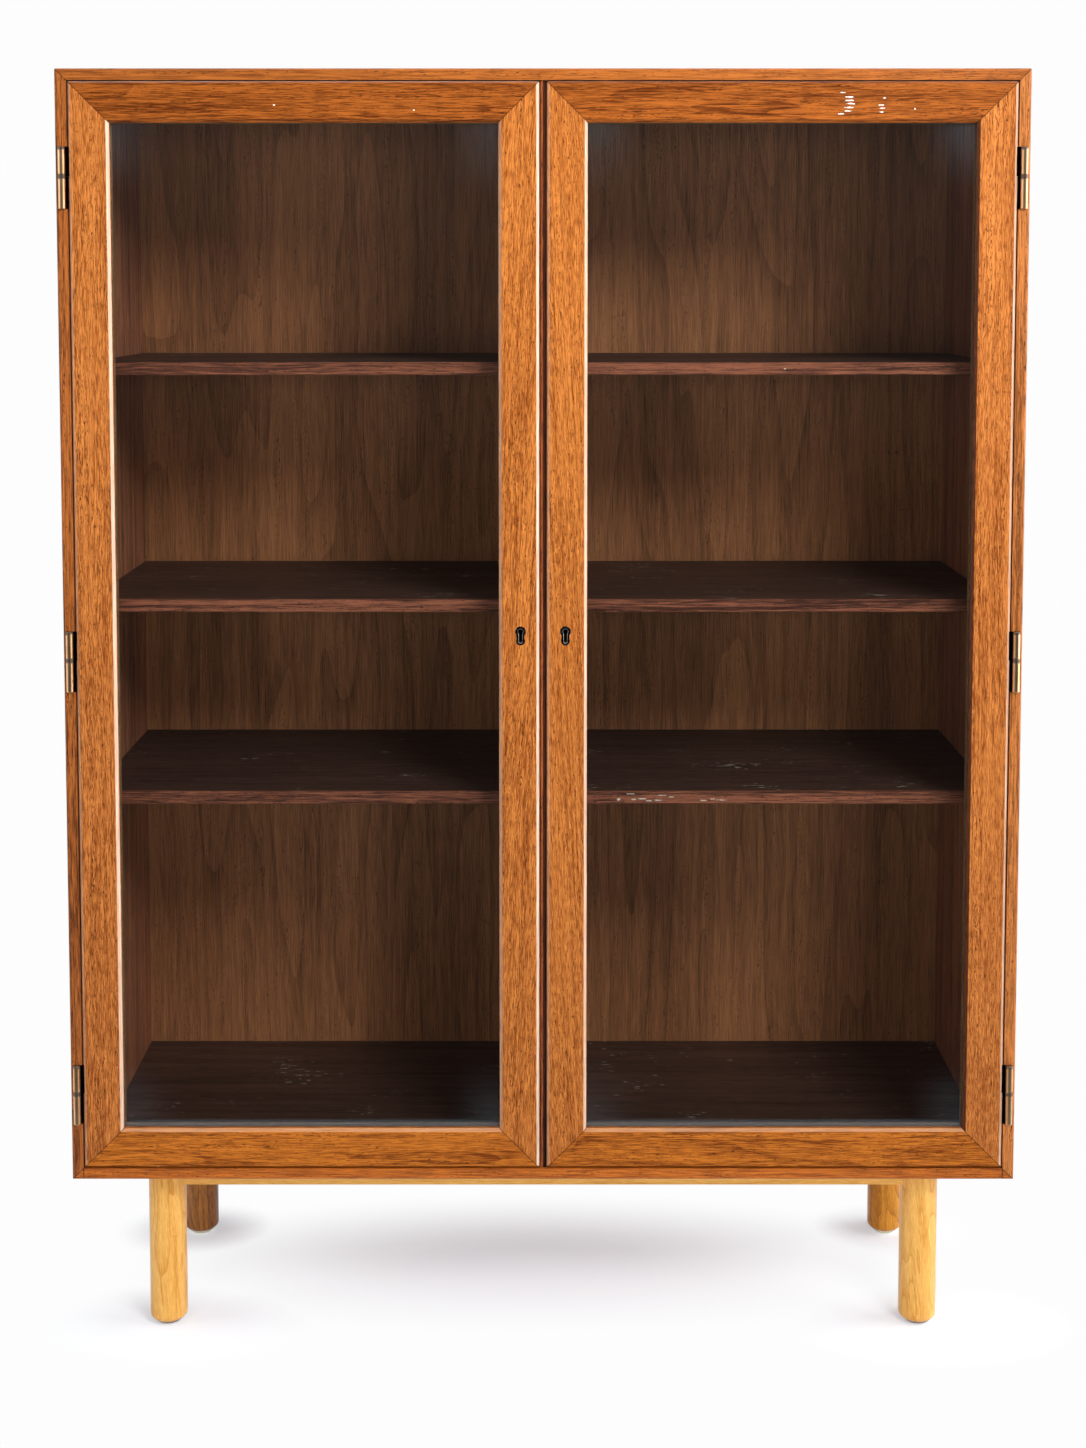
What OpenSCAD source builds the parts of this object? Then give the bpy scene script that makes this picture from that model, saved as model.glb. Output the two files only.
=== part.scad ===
// Two-door glazed bookcase on a low oak base, front towards -Y, standing on the floor at Z = 0

/* [Carcass] */
// Overall width of the case
carcass_w = 1200; // [900:10:1400]
// Height of the case without its legs
carcass_h = 1403; // [1250:1:1600]
// Depth from the front edges to the back
carcass_d = 430; // [380:5:500]
// Thickness of the veneered panels
panel_t = 20; // [18:1:24]
// Width of the solid front edging that shows beside the doors
edging_w = 14.5; // [13:0.5:16]
// Thickness of the back panel
back_t = 8; // [6:1:10]
// Width of the rear rebate that takes the back panel
back_rebate_w = 12; // [11:1:14]
// Width of the centre edging that shows between the doors
centre_edging_w = 7; // [4:0.2:7]
// How far the centre edging stands back from the door faces
centre_edging_set = 3.5; // [1:0.5:5]
// Radius on the outer corners and front edges of the case
case_edge_r = 3; // [1:0.5:4]
// Depth of the grooves that hold the centre partition
housing_depth = 5; // [3:1:8]

/* [Shelves] */
// Height of the top shelf's surface above the bottom of the case
top_shelf_rise = 1040; // [968:1:1088]
// Height of the middle shelf's surface above the bottom of the case
middle_shelf_rise = 737; // [718:1:888]
// Height of the low shelf's surface above the bottom of the case
low_shelf_rise = 488; // [388:1:588]
// Thickness of a shelf
shelf_t = 16; // [14:1:20]
// How far the shelf fronts stand back from the case front
shelf_set = 56; // [45:1:90]
// Depth of the solid edging on a shelf's front
shelf_edging_d = 8; // [5:1:12]
// Diameter of a shelf pin
pin_dia = 5; // [4:0.5:7]
// How far a shelf pin stands out under its shelf
pin_reach = 8; // [6:1:12]

/* [Doors] */
// Thickness of a door frame
door_t = 22; // [20:1:25]
// Face width of the stiles and rails
member_w = 50.5; // [44:0.5:60]
// Gap round the outside of the doors
door_gap = 1.1; // [1:0.1:2]
// Gap between the two doors at the meeting stiles
meeting_gap = 9.2; // [8.5:0.1:12]
// Width of the bevel round the glass opening
bevel_w = 4; // [3:0.5:7]
// Depth of the bevel round the glass opening
bevel_d = 4; // [2:0.5:5]
// Radius on the outer front edges of a door
door_edge_r = 4; // [1:0.5:4]
// Thickness of the frame in front of the glass
lip_t = 8; // [6:0.5:9]
// Width of the glass rebate
rebate_w = 8; // [6:0.5:10]
// Thickness of the glass
glass_t = 4; // [3:0.5:5]
// Depth of a glazing bead
bead_d = 9; // [6:0.5:9]

/* [Hinges] */
// Radius of a hinge barrel
barrel_r = 4.4; // [4:0.1:5]
// Length of the upper knuckle, carried by the door
upper_knuckle_l = 36; // [30:1:45]
// Length of the lower knuckle, carried by the case
lower_knuckle_l = 40; // [30:1:50]
// Distance from the side of the case to the hinge axis
hinge_inset = 7.8; // [7.5:0.1:8.5]
// How far the hinge axis stands in front of the case
hinge_axis_proud = 1; // [0.5:0.1:2]
// Height of the top hinge's joint below the top of the case
top_hinge_drop = 132; // [100:1:200]
// Height of the middle hinge's joint below the top of the case
middle_hinge_drop = 734; // [600:1:800]
// Height of the bottom hinge's joint above the bottom of the case
bottom_hinge_rise = 113; // [80:1:200]

/* [Locks] */
// Height of the keyholes above the bottom of the case
keyhole_rise = 700; // [640:1:708]
// Distance from a door's meeting edge to its keyhole
keyhole_inset = 23.5; // [22:0.5:26]
// Width of a lock case
lock_w = 32; // [28:1:34]
// Height of a lock case
lock_h = 60; // [45:1:70]
// Depth of a lock case
lock_d = 10; // [9:0.5:12]
// How far a bolt moves
bolt_throw = 7; // [5:0.5:7]

/* [Base] */
// Height of the case above the floor
base_h = 212; // [150:1:300]
// Diameter of a leg
leg_dia = 48; // [40:1:60]
// Distance from a side of the case to the axes of its legs
leg_inset = 111; // [70:1:200]
// Distance from the case front to the axes of the front legs
front_leg_set = 55; // [40:1:90]
// Distance from the front to the back leg axes
leg_run = 252; // [220:1:280]
// Radius of a leg at the floor, below its taper
foot_r = 14.5; // [12:0.5:18]
// Radius that eases the shoulder above the taper
shoulder_r = 6; // [3:1:10]
// Height of the base rails
rail_h = 27; // [22:1:45]
// Thickness of the base rails
rail_t = 20; // [16:1:26]
// Thickness of the glides under the front legs
glide_t = 1.5; // [1:0.5:3]
// Thickness of the nylon feet under the back legs
foot_pad_t = 6; // [4:0.5:8]

/* [Hidden] */
$fn = 64;

teak = "#b8672a";
dark_teak = "#4a2c20";
oak = "#d9a04e";
walnut_oak = "#8a5a34";
brass = "#c9a54a";
steel = "#5a5f68";
nylon = "#e8e4d8";

// A cut runs this far past the face that it opens
over = 1;

// Small clearances
shut_gap = 0.5;
shelf_gap = 0.75;
glass_gap = 1;
back_gap = 0.5;
knuckle_gap = 0.3;
pin_running_gap = 0.05;
barrel_gap = 0.5;
bolt_gap = 0.3;
keyhole_gap = 0.5;
mitre_gap = 0.1;

// Heights and places that follow from the sizes above
case_top = base_h + carcass_h;
inner_half_w = carcass_w / 2 - panel_t;
floor_z = base_h + panel_t;
ceiling_z = case_top - panel_t;
edging_d = door_t + shut_gap;
door_w = (carcass_w - 2 * edging_w - 2 * door_gap - meeting_gap) / 2;
door_h = carcass_h - 2 * edging_w - 2 * door_gap;
door_x = -(carcass_w / 2 - edging_w - door_gap);
door_z = base_h + edging_w + door_gap;
back_y = carcass_d - back_t;
top_shelf_z = base_h + top_shelf_rise;
middle_shelf_z = base_h + middle_shelf_rise;
low_shelf_z = base_h + low_shelf_rise;
shelf_heights = [top_shelf_z, middle_shelf_z, low_shelf_z];
hinge_heights = [
    case_top - top_hinge_drop,
    case_top - middle_hinge_drop,
    base_h + bottom_hinge_rise
];
hinge_x = -(carcass_w / 2 - hinge_inset);
hinge_y = -hinge_axis_proud;
leg_r = leg_dia / 2;
leg_span = carcass_w - 2 * leg_inset;
back_leg_y = front_leg_set + leg_run;
keyhole_x = -(meeting_gap / 2 + keyhole_inset);
keyhole_z = base_h + keyhole_rise;

// The case is centred on the origin, from the hinge barrels to the back
front_y = -(carcass_d - barrel_r - hinge_axis_proud) / 2;

// Hinge leaves and their screws
leaf_t = 1.5;
leaf_end_y = 19;
web_front_y = 0.8;
web_t = 1.6;
hinge_pin_r = 2.5;
hinge_pin_up = 30;
hinge_pin_down = 36;
leaf_screw_y = 11;
leaf_screw_r = 1.4;
leaf_screw_head_r = 2.8;
case_screw_l = 11;
door_screw_l = 16;
screw_slot_w = 0.7;
screw_slot_d = 0.7;

// Keyhole outline, as two circles joined by a waist
keyhole_up = 5.3;
keyhole_down = 6.4;
escutcheon_top_r = 6.75;
escutcheon_low_r = 5.6;
escutcheon_waist = 4.9;
escutcheon_d = 5;
escutcheon_proud = 0.7;
key_top_r = 3.3;
key_low_r = 2.5;
key_waist = 2.1;

// Lock, bolt and the plate that the bolt enters
lock_wall = 1.4;
lock_to_partition = 2;
bolt_t = 5;
bolt_h = 14;
bolt_l = 22;
bolt_notch_w = 7;
bolt_notch_h = 4;
strike_t = 1.5;
strike_w = 8;
strike_h = 44;
mortise_spare = 1;

// Shelf pins
pin_r = pin_dia / 2;
pin_hole_d = 8;
pin_collar_r = 4;
pin_collar_t = 1.2;
pin_front_set = 35;
pin_back_set = 45;

// Base joints
tenon_l = 14;
tenon_t = 10;
tenon_shoulder = 4;
glide_r = 12;
glide_nail_r = 1.5;
glide_nail_l = 14;
base_screw_r = 2;
base_screw_head_r = 4.2;
base_screw_head_h = 3;
base_screw_sink_r = 5;
base_screw_sink = 8;
base_screw_bite = 13;

// Screws in the back panel
back_screw_r = 1.6;
back_screw_head_r = 3.2;
back_screw_bite = 10;
back_screw_rows = 5;
back_screw_columns = 4;

// Everything is drawn with the case front at Y = 0 and then moved so that the origin is central
module in_place() {
    translate([0, front_y, 0]) children();
}

// The right-hand copy of something drawn on the left
module right_hand() {
    mirror([1, 0, 0]) children();
}

// A square corner with the quarter circle taken out, used to round an edge
module edge_cutter_2d(r) {
    difference() {
        translate([-over, -over]) square(r + over);
        translate([r, r]) circle(r);
    }
}

// A bar with mitred ends, outer edge on the X axis, made from a profile of depth and height
module mitred_bar(length, width, depth) {
    intersection() {
        rotate([90, 0, 90]) linear_extrude(length) children();
        translate([0, depth + over, 0]) rotate([90, 0, 0]) linear_extrude(depth + 2 * over)
            polygon([[0, 0], [length, 0], [length - width, width], [width, width]]);
    }
}

// Turns a bar to one side of a frame of width w and height h with its lower left corner at the origin
module frame_side(side, w, h) {
    if (side == "bottom") children();
    if (side == "right") translate([w, 0, 0]) rotate([0, -90, 0]) children();
    if (side == "top") translate([w, 0, h]) rotate([0, 180, 0]) children();
    if (side == "left") translate([0, 0, h]) rotate([0, 90, 0]) children();
}

// A solid block with the case's outline and its rounded corners
module case_outline() {
    translate([-carcass_w / 2, carcass_d + over, base_h]) rotate([90, 0, 0])
        linear_extrude(carcass_d + 2 * over) {
            translate([case_edge_r, 0]) square([carcass_w - 2 * case_edge_r, carcass_h]);
            translate([0, case_edge_r]) square([carcass_w, carcass_h - 2 * case_edge_r]);
            for (x = [case_edge_r, carcass_w - case_edge_r])
                for (z = [case_edge_r, carcass_h - case_edge_r])
                    translate([x, z]) circle(case_edge_r);
        }
}

module panel_profile() {
    difference() {
        translate([edging_d, 0]) square([carcass_d - edging_d, panel_t]);
        translate([back_y, panel_t - back_rebate_w]) square([back_t + over, back_rebate_w + over]);
    }
}

module edging_profile() {
    difference() {
        square([edging_d, edging_w]);
        edge_cutter_2d(case_edge_r);
    }
}

module case_panel(side, length) {
    intersection() {
        translate([-carcass_w / 2, 0, base_h]) frame_side(side, carcass_w, carcass_h)
            mitred_bar(length, panel_t, carcass_d) panel_profile();
        case_outline();
    }
}

module case_edging(side, length) {
    intersection() {
        translate([-carcass_w / 2, 0, base_h]) frame_side(side, carcass_w, carcass_h)
            mitred_bar(length, edging_w, edging_d) edging_profile();
        case_outline();
    }
}

// The groove in the top or bottom panel that holds the end of the centre partition
module partition_groove(z) {
    translate([-panel_t / 2, edging_d, z]) cube([panel_t, back_y - edging_d, housing_depth]);
}

module top_panel() {
    color(teak) difference() {
        case_panel("top", carcass_w);
        partition_groove(ceiling_z);
        back_screws();
    }
}

module bottom_panel() {
    color(teak) difference() {
        case_panel("bottom", carcass_w);
        partition_groove(floor_z - housing_depth);
        back_screws();
        base_screws();
    }
}

module left_side() {
    color(teak) difference() {
        case_panel("left", carcass_h);
        shelf_pin_places(-inner_half_w) pin_hole();
        back_screws();
    }
}

module centre_partition() {
    color(dark_teak) difference() {
        translate([-panel_t / 2, edging_d, floor_z - housing_depth])
            cube([panel_t, back_y - edging_d, ceiling_z - floor_z + 2 * housing_depth]);
        shelf_pin_places(-panel_t / 2) right_hand() pin_hole();
        right_hand() shelf_pin_places(-panel_t / 2) right_hand() pin_hole();
        bolt_mortise();
        right_hand() bolt_mortise();
    }
}

module back_panel() {
    half_w = inner_half_w + back_rebate_w - back_gap;
    low_z = floor_z - back_rebate_w + back_gap;
    high_z = ceiling_z + back_rebate_w - back_gap;
    color(dark_teak) difference() {
        translate([-half_w, back_y, low_z]) cube([2 * half_w, back_t, high_z - low_z]);
        back_screws();
    }
}

// Countersunk screws round the back panel, heads flush with the back of the case
module back_screws() {
    side_x = inner_half_w + back_rebate_w / 2;
    low_z = floor_z - back_rebate_w / 2;
    high_z = ceiling_z + back_rebate_w / 2;
    row_pitch = (high_z - low_z) / (back_screw_rows + 1);
    column_pitch = 2 * side_x / (back_screw_columns + 1);
    color(steel) {
        for (row = [1 : back_screw_rows])
            for (side = [-1, 1])
                translate([side * side_x, carcass_d, low_z + row * row_pitch]) back_screw();
        for (column = [1 : back_screw_columns])
            for (z = [low_z, high_z])
                translate([-side_x + column * column_pitch, carcass_d, z]) back_screw();
    }
}

module back_screw() {
    rotate([90, 0, 0]) countersunk_screw(back_screw_r, back_screw_head_r, back_t + back_screw_bite);
}

// A countersunk wood screw along +Z from its flat head
module countersunk_screw(shank_r, head_r, length) {
    cylinder(h = head_r - shank_r, r1 = head_r, r2 = shank_r);
    cylinder(h = length, r = shank_r);
}

// The same screw with its driving slot, for the pieces themselves
module slotted_screw(shank_r, head_r, length) {
    difference() {
        countersunk_screw(shank_r, head_r, length);
        translate([-head_r - over, -screw_slot_w / 2, -over])
            cube([2 * (head_r + over), screw_slot_w, screw_slot_d + over]);
    }
}

module left_edging() {
    color(teak) difference() {
        case_edging("left", carcass_h);
        at_hinges() {
            barrel_notch();
            case_leaf();
            case_leaf_screws();
        }
    }
}

module centre_edging() {
    arris = 0.8;
    color(teak) translate([-centre_edging_w / 2, centre_edging_set, base_h + edging_w])
        linear_extrude(carcass_h - 2 * edging_w)
            polygon([
                [0, arris],
                [arris, 0],
                [centre_edging_w - arris, 0],
                [centre_edging_w, arris],
                [centre_edging_w, edging_d - centre_edging_set],
                [0, edging_d - centre_edging_set]
            ]);
}

// Puts a hinge piece at each of the left door's three hinges, with the joint of the knuckles at Z = 0
module at_hinges() {
    for (z = hinge_heights)
        translate([hinge_x, hinge_y, z]) children();
}

// Room for the barrel in the front of the edging, open towards the door
module barrel_notch() {
    low = -lower_knuckle_l - barrel_gap;
    height = lower_knuckle_l + knuckle_gap + upper_knuckle_l + 2 * barrel_gap;
    translate([0, 0, low]) {
        cylinder(h = height, r = barrel_r + barrel_gap);
        translate([0, -over, 0])
            cube([hinge_to_edging + over, over + web_back + barrel_gap, height]);
    }
}

// From the hinge axis to the inner face of the edging, to the edge of the door and to a web's back
hinge_to_edging = edging_w - hinge_inset;
hinge_to_door = hinge_to_edging + door_gap;
web_back = hinge_axis_proud + web_front_y + web_t;

// The lower leaf lies in the inner face of the edging and its web runs to the barrel
module case_leaf() {
    translate([0, 0, -lower_knuckle_l]) {
        translate([hinge_to_edging - leaf_t, web_front_y + hinge_axis_proud, 0])
            cube([leaf_t, leaf_end_y - web_front_y, lower_knuckle_l]);
        translate([barrel_r / 2, web_front_y + hinge_axis_proud, 0])
            cube([hinge_to_edging - barrel_r / 2, web_t, lower_knuckle_l]);
    }
}

// The upper leaf lies in the edge of the door
module door_leaf() {
    translate([0, 0, knuckle_gap]) {
        translate([hinge_to_door, web_front_y + hinge_axis_proud, 0])
            cube([leaf_t, leaf_end_y - web_front_y, upper_knuckle_l]);
        translate([barrel_r / 2, web_front_y + hinge_axis_proud, 0])
            cube([hinge_to_door + leaf_t - barrel_r / 2, web_t, upper_knuckle_l]);
    }
}

module case_leaf_screws() {
    for (share = [0.25, 0.75])
        translate([hinge_to_edging, leaf_screw_y + hinge_axis_proud, -share * lower_knuckle_l])
            rotate([0, -90, 0]) countersunk_screw(leaf_screw_r, leaf_screw_head_r, case_screw_l);
}

module door_leaf_screws() {
    for (share = [0.25, 0.75])
        translate([hinge_to_door, leaf_screw_y + hinge_axis_proud, knuckle_gap + share * upper_knuckle_l])
            rotate([0, 90, 0]) countersunk_screw(leaf_screw_r, leaf_screw_head_r, door_screw_l);
}

// One rounded end of a barrel, as a body of revolution from Z = 0 up
module barrel(length, round_end) {
    rotate_extrude() difference() {
        square([barrel_r, length]);
        if (round_end) translate([barrel_r, length]) rotate(180) edge_cutter_2d(1);
    }
}

module left_lower_knuckles() {
    color(brass) at_hinges() difference() {
        union() {
            mirror([0, 0, 1]) barrel(lower_knuckle_l, true);
            case_leaf();
        }
        hinge_pin();
        case_leaf_screws();
    }
}

module left_upper_knuckles() {
    color(brass) at_hinges() difference() {
        union() {
            translate([0, 0, knuckle_gap]) barrel(upper_knuckle_l, true);
            door_leaf();
        }
        cylinder(h = hinge_pin_up + knuckle_gap, r = hinge_pin_r + pin_running_gap);
        door_leaf_screws();
    }
}

module hinge_pin() {
    translate([0, 0, -hinge_pin_down]) cylinder(h = hinge_pin_down + hinge_pin_up, r = hinge_pin_r);
}

module hinge_pins() {
    color(steel) {
        at_hinges() hinge_pin();
        right_hand() at_hinges() hinge_pin();
    }
}

module left_case_hinge_screws() {
    at_hinges()
        for (share = [0.25, 0.75])
            translate([hinge_to_edging, leaf_screw_y + hinge_axis_proud, -share * lower_knuckle_l])
                rotate([0, -90, 0]) slotted_screw(leaf_screw_r, leaf_screw_head_r, case_screw_l);
}

module case_hinge_screws() {
    color(brass) {
        left_case_hinge_screws();
        right_hand() left_case_hinge_screws();
    }
}

module left_door_screws() {
    color(brass) at_hinges()
        for (share = [0.25, 0.75])
            translate([hinge_to_door, leaf_screw_y + hinge_axis_proud, knuckle_gap + share * upper_knuckle_l])
                rotate([0, 90, 0]) slotted_screw(leaf_screw_r, leaf_screw_head_r, door_screw_l);
}

// Section through a door member: rounded outside edge, bevel and rebate on the glass side
module door_profile() {
    difference() {
        square([door_t, member_w]);
        edge_cutter_2d(door_edge_r);
        polygon([
            [-over, member_w + over],
            [-over, member_w - bevel_w - over * bevel_w / bevel_d],
            [bevel_d, member_w],
            [bevel_d, member_w + over]
        ]);
        translate([lip_t, member_w - rebate_w]) square([door_t, rebate_w + over]);
    }
}

module door_member(side, length) {
    translate([door_x, 0, door_z]) frame_side(side, door_w, door_h)
        mitred_bar(length, member_w, door_t) door_profile();
}

module left_hinge_stile() {
    color(teak) difference() {
        door_member("left", door_h);
        at_hinges() {
            door_leaf();
            door_leaf_screws();
        }
    }
}

module left_lock_stile() {
    color(teak) difference() {
        door_member("right", door_h);
        at_keyhole() {
            thick_outline(-over, escutcheon_d + over) escutcheon_2d();
            thick_outline(-over, door_t + 2 * over) key_2d(keyhole_gap);
        }
    }
}

module left_top_rail() {
    color(teak) door_member("top", door_w);
}

module left_bottom_rail() {
    color(teak) door_member("bottom", door_w);
}

module left_glass() {
    inset = member_w - rebate_w + glass_gap;
    color("#9fb4bc", 0.35) translate([door_x + inset, lip_t, door_z + inset])
        cube([door_w - 2 * inset, glass_t, door_h - 2 * inset]);
}

// Four mitred beads behind the glass, flush with the opening
module left_glazing_beads() {
    inset = member_w - rebate_w;
    w = door_w - 2 * inset;
    h = door_h - 2 * inset;
    color(teak) translate([door_x + inset, lip_t + glass_t, door_z + inset])
        for (bar = [["bottom", w], ["right", h], ["top", w], ["left", h]])
            frame_side(bar[0], w, h) translate([mitre_gap, 0, 0])
                mitred_bar(bar[1] - 2 * mitre_gap, rebate_w, bead_d) square([bead_d, rebate_w]);
}

module at_keyhole() {
    translate([keyhole_x, 0, keyhole_z]) children();
}

// A flat outline in X and Z made into a block from depth y to depth y + d
module thick_outline(y, d) {
    translate([0, y + d, 0]) rotate([90, 0, 0]) linear_extrude(d) children();
}

module two_lobes_2d(top_r, low_r, waist) {
    translate([0, keyhole_up]) circle(top_r);
    translate([0, -keyhole_down]) circle(low_r);
    translate([-waist, -keyhole_down]) square([2 * waist, keyhole_up + keyhole_down]);
}

module escutcheon_2d() {
    two_lobes_2d(escutcheon_top_r, escutcheon_low_r, escutcheon_waist);
}

module key_2d(gap) {
    two_lobes_2d(key_top_r + gap, key_low_r + gap, key_waist + gap);
}

module left_escutcheon() {
    color(steel) at_keyhole() difference() {
        thick_outline(-escutcheon_proud, escutcheon_d + escutcheon_proud) escutcheon_2d();
        thick_outline(-escutcheon_proud - over, escutcheon_d + escutcheon_proud + 2 * over) key_2d(0);
    }
}

// Lock case on the back of the meeting stile, hollow round its bolt
lock_x = -panel_t / 2 - lock_to_partition - lock_w;
bolt_y = door_t + lock_d / 2 - bolt_t / 2;
bolt_end_x = -panel_t / 2 - lock_to_partition;

module left_lock_case() {
    low_z = keyhole_z - lock_h / 2;
    color(steel) difference() {
        translate([lock_x, door_t, low_z]) cube([lock_w, lock_d, lock_h]);
        translate([lock_x + lock_wall, door_t + lock_wall, low_z + lock_wall])
            cube([lock_w - 2 * lock_wall, lock_d - 2 * lock_wall, lock_h - 2 * lock_wall]);
        translate([lock_x + lock_w / 2, bolt_y - bolt_gap, keyhole_z - bolt_h / 2 - bolt_gap])
            cube([lock_w, bolt_t + 2 * bolt_gap, bolt_h + 2 * bolt_gap]);
        at_keyhole() thick_outline(door_t - over, over + 2 * lock_wall) key_2d(keyhole_gap);
    }
}

module left_lock_bolt() {
    color(brass) difference() {
        translate([bolt_end_x - bolt_l, bolt_y, keyhole_z - bolt_h / 2]) cube([bolt_l, bolt_t, bolt_h]);
        translate([keyhole_x - bolt_notch_w / 2, bolt_y - over, keyhole_z - bolt_h / 2 - over])
            cube([bolt_notch_w, bolt_t + 2 * over, bolt_notch_h + over]);
    }
}

// Hole in the partition's left side for the thrown bolt and for its plate
module bolt_mortise() {
    depth = bolt_throw - lock_to_partition + mortise_spare;
    translate([-panel_t / 2 - over, bolt_y - bolt_gap, keyhole_z - bolt_h / 2 - bolt_gap])
        cube([depth + over, bolt_t + 2 * bolt_gap, bolt_h + 2 * bolt_gap]);
    translate([-panel_t / 2 - over, bolt_y + bolt_t / 2 - strike_w / 2, keyhole_z - strike_h / 2])
        cube([strike_t + over, strike_w, strike_h]);
}

module left_strike_plate() {
    difference() {
        translate([-panel_t / 2, bolt_y + bolt_t / 2 - strike_w / 2, keyhole_z - strike_h / 2])
            cube([strike_t, strike_w, strike_h]);
        translate([-panel_t / 2 - over, bolt_y - bolt_gap, keyhole_z - bolt_h / 2 - bolt_gap])
            cube([strike_t + 2 * over, bolt_t + 2 * bolt_gap, bolt_h + 2 * bolt_gap]);
    }
}

module strike_plates() {
    color(brass) {
        left_strike_plate();
        right_hand() left_strike_plate();
    }
}

// Shelf boards run between the side and the partition, behind their solid edging
shelf_w = inner_half_w - panel_t / 2 - 2 * shelf_gap;
shelf_x = -inner_half_w + shelf_gap;

module left_shelf(top_z) {
    front = shelf_set + shelf_edging_d;
    color(dark_teak) translate([shelf_x, front, top_z - shelf_t])
        cube([shelf_w, back_y - front - back_gap, shelf_t]);
}

module left_shelf_edging(top_z) {
    arris = 1;
    translate([shelf_x, shelf_set, top_z - shelf_t]) rotate([90, 0, 90]) linear_extrude(shelf_w)
        polygon([
            [arris, 0],
            [shelf_edging_d, 0],
            [shelf_edging_d, shelf_t],
            [arris, shelf_t],
            [0, shelf_t - arris],
            [0, arris]
        ]);
}

module shelf_edgings() {
    color(dark_teak)
        for (z = shelf_heights) {
            left_shelf_edging(z);
            right_hand() left_shelf_edging(z);
        }
}

// Puts a pin piece at each pin of the left bay's shelves on the upright at x
module shelf_pin_places(x) {
    for (z = shelf_heights)
        for (y = [shelf_set + pin_front_set, back_y - pin_back_set])
            translate([x, y, z - shelf_t - pin_r]) children();
}

// Hole for a pin in an upright on the left of the bay
module pin_hole() {
    translate([-pin_hole_d, 0, 0]) rotate([0, 90, 0]) cylinder(h = pin_hole_d + over, r = pin_r);
}

module shelf_pin() {
    translate([-pin_hole_d, 0, 0]) rotate([0, 90, 0]) cylinder(h = pin_hole_d + pin_reach, r = pin_r);
    difference() {
        rotate([0, 90, 0]) cylinder(h = pin_collar_t, r = pin_collar_r);
        translate([-over, -pin_collar_r - over, pin_r])
            cube([pin_collar_t + 2 * over, 2 * (pin_collar_r + over), pin_collar_r]);
    }
}

module left_bay_pins() {
    shelf_pin_places(-inner_half_w) shelf_pin();
    shelf_pin_places(-panel_t / 2) right_hand() shelf_pin();
}

module shelf_pins() {
    color(brass) {
        left_bay_pins();
        right_hand() left_bay_pins();
    }
}

// Half outline of a leg from height low to height high: straight, then tapering at 45 degrees to
// foot_r at the floor, with the shoulder between them eased by an arc
module leg_outline_2d(low, high) {
    centre = [leg_r - shoulder_r, leg_r - foot_r + shoulder_r * (sqrt(2) - 1)];
    difference() {
        translate([0, low]) square([leg_r, high - low]);
        difference() {
            polygon([
                [foot_r - over, -over],
                [leg_r + over, -over],
                [leg_r + over, centre.y],
                centre,
                centre + shoulder_r * [cos(45), -sin(45)]
            ]);
            translate(centre) circle(shoulder_r);
        }
    }
}

// Round leg that stands on something of the given thickness
module leg(x, y, under_t) {
    difference() {
        translate([x, y, 0]) rotate_extrude() leg_outline_2d(under_t, base_h);
        rail_tenons(over);
        glide_nail(x, y, under_t);
    }
}

module front_leg(x) {
    color(oak) leg(x, front_leg_set, glide_t);
}

module back_leg(x, wood) {
    color(wood) leg(x, back_leg_y, foot_pad_t);
}

module glide_nail(x, y, under_t) {
    translate([x, y, under_t]) cylinder(h = glide_nail_l, r = glide_nail_r);
}

// Thin glides, smaller than the front legs' feet and hardly seen
module front_glides() {
    color(nylon)
        for (x = [-leg_span / 2, leg_span / 2]) {
            translate([x, front_leg_set, 0]) cylinder(h = glide_t, r = glide_r);
            glide_nail(x, front_leg_set, glide_t);
        }
}

// Nylon feet that take the place of the wood at the ends of the back legs, turned to the same taper
module back_feet() {
    color(nylon)
        for (x = [-leg_span / 2, leg_span / 2]) {
            translate([x, back_leg_y, 0]) rotate_extrude() leg_outline_2d(0, foot_pad_t);
            glide_nail(x, back_leg_y, foot_pad_t);
        }
}

// Tenons of all four rails, longer by the given spare depth when used as mortises
module rail_tenons(spare) {
    for (y = [front_leg_set, back_leg_y])
        for (side = [-1, 1])
            long_tenon(side, y, spare);
    for (x = [-leg_span / 2, leg_span / 2])
        for (end = [0, 1])
            short_tenon(x, end, spare);
}

module long_tenon(side, y, spare) {
    reach = leg_span / 2 - leg_r;
    z = base_h - rail_h + tenon_shoulder;
    shoulder_x = side > 0 ? reach - over : -reach - tenon_l - spare;
    translate([shoulder_x, y - tenon_t / 2, z])
        cube([tenon_l + spare + over, tenon_t, rail_h - 2 * tenon_shoulder]);
}

module short_tenon(x, end, spare) {
    z = base_h - rail_h + tenon_shoulder;
    front = front_leg_set + leg_r - tenon_l - spare;
    back = back_leg_y - leg_r - over;
    translate([x - tenon_t / 2, end == 0 ? front : back, z])
        cube([tenon_t, tenon_l + spare + over, rail_h - 2 * tenon_shoulder]);
}

// Clears the round legs out of a rail, so that its shoulders fit them
module leg_columns() {
    for (x = [-leg_span / 2, leg_span / 2])
        for (y = [front_leg_set, back_leg_y])
            translate([x, y, 0]) cylinder(h = base_h + over, r = leg_r);
}

module long_rail(y) {
    color(oak) difference() {
        union() {
            difference() {
                translate([-leg_span / 2, y - rail_t / 2, base_h - rail_h]) cube([leg_span, rail_t, rail_h]);
                leg_columns();
            }
            long_tenon(-1, y, 0);
            long_tenon(1, y, 0);
        }
        base_screws();
        base_screw_sinks();
    }
}

module short_rail(x) {
    color(oak) difference() {
        union() {
            difference() {
                translate([x - rail_t / 2, front_leg_set, base_h - rail_h]) cube([rail_t, leg_run, rail_h]);
                leg_columns();
            }
            short_tenon(x, 0, 0);
            short_tenon(x, 1, 0);
        }
        base_screws();
        base_screw_sinks();
    }
}

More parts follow.
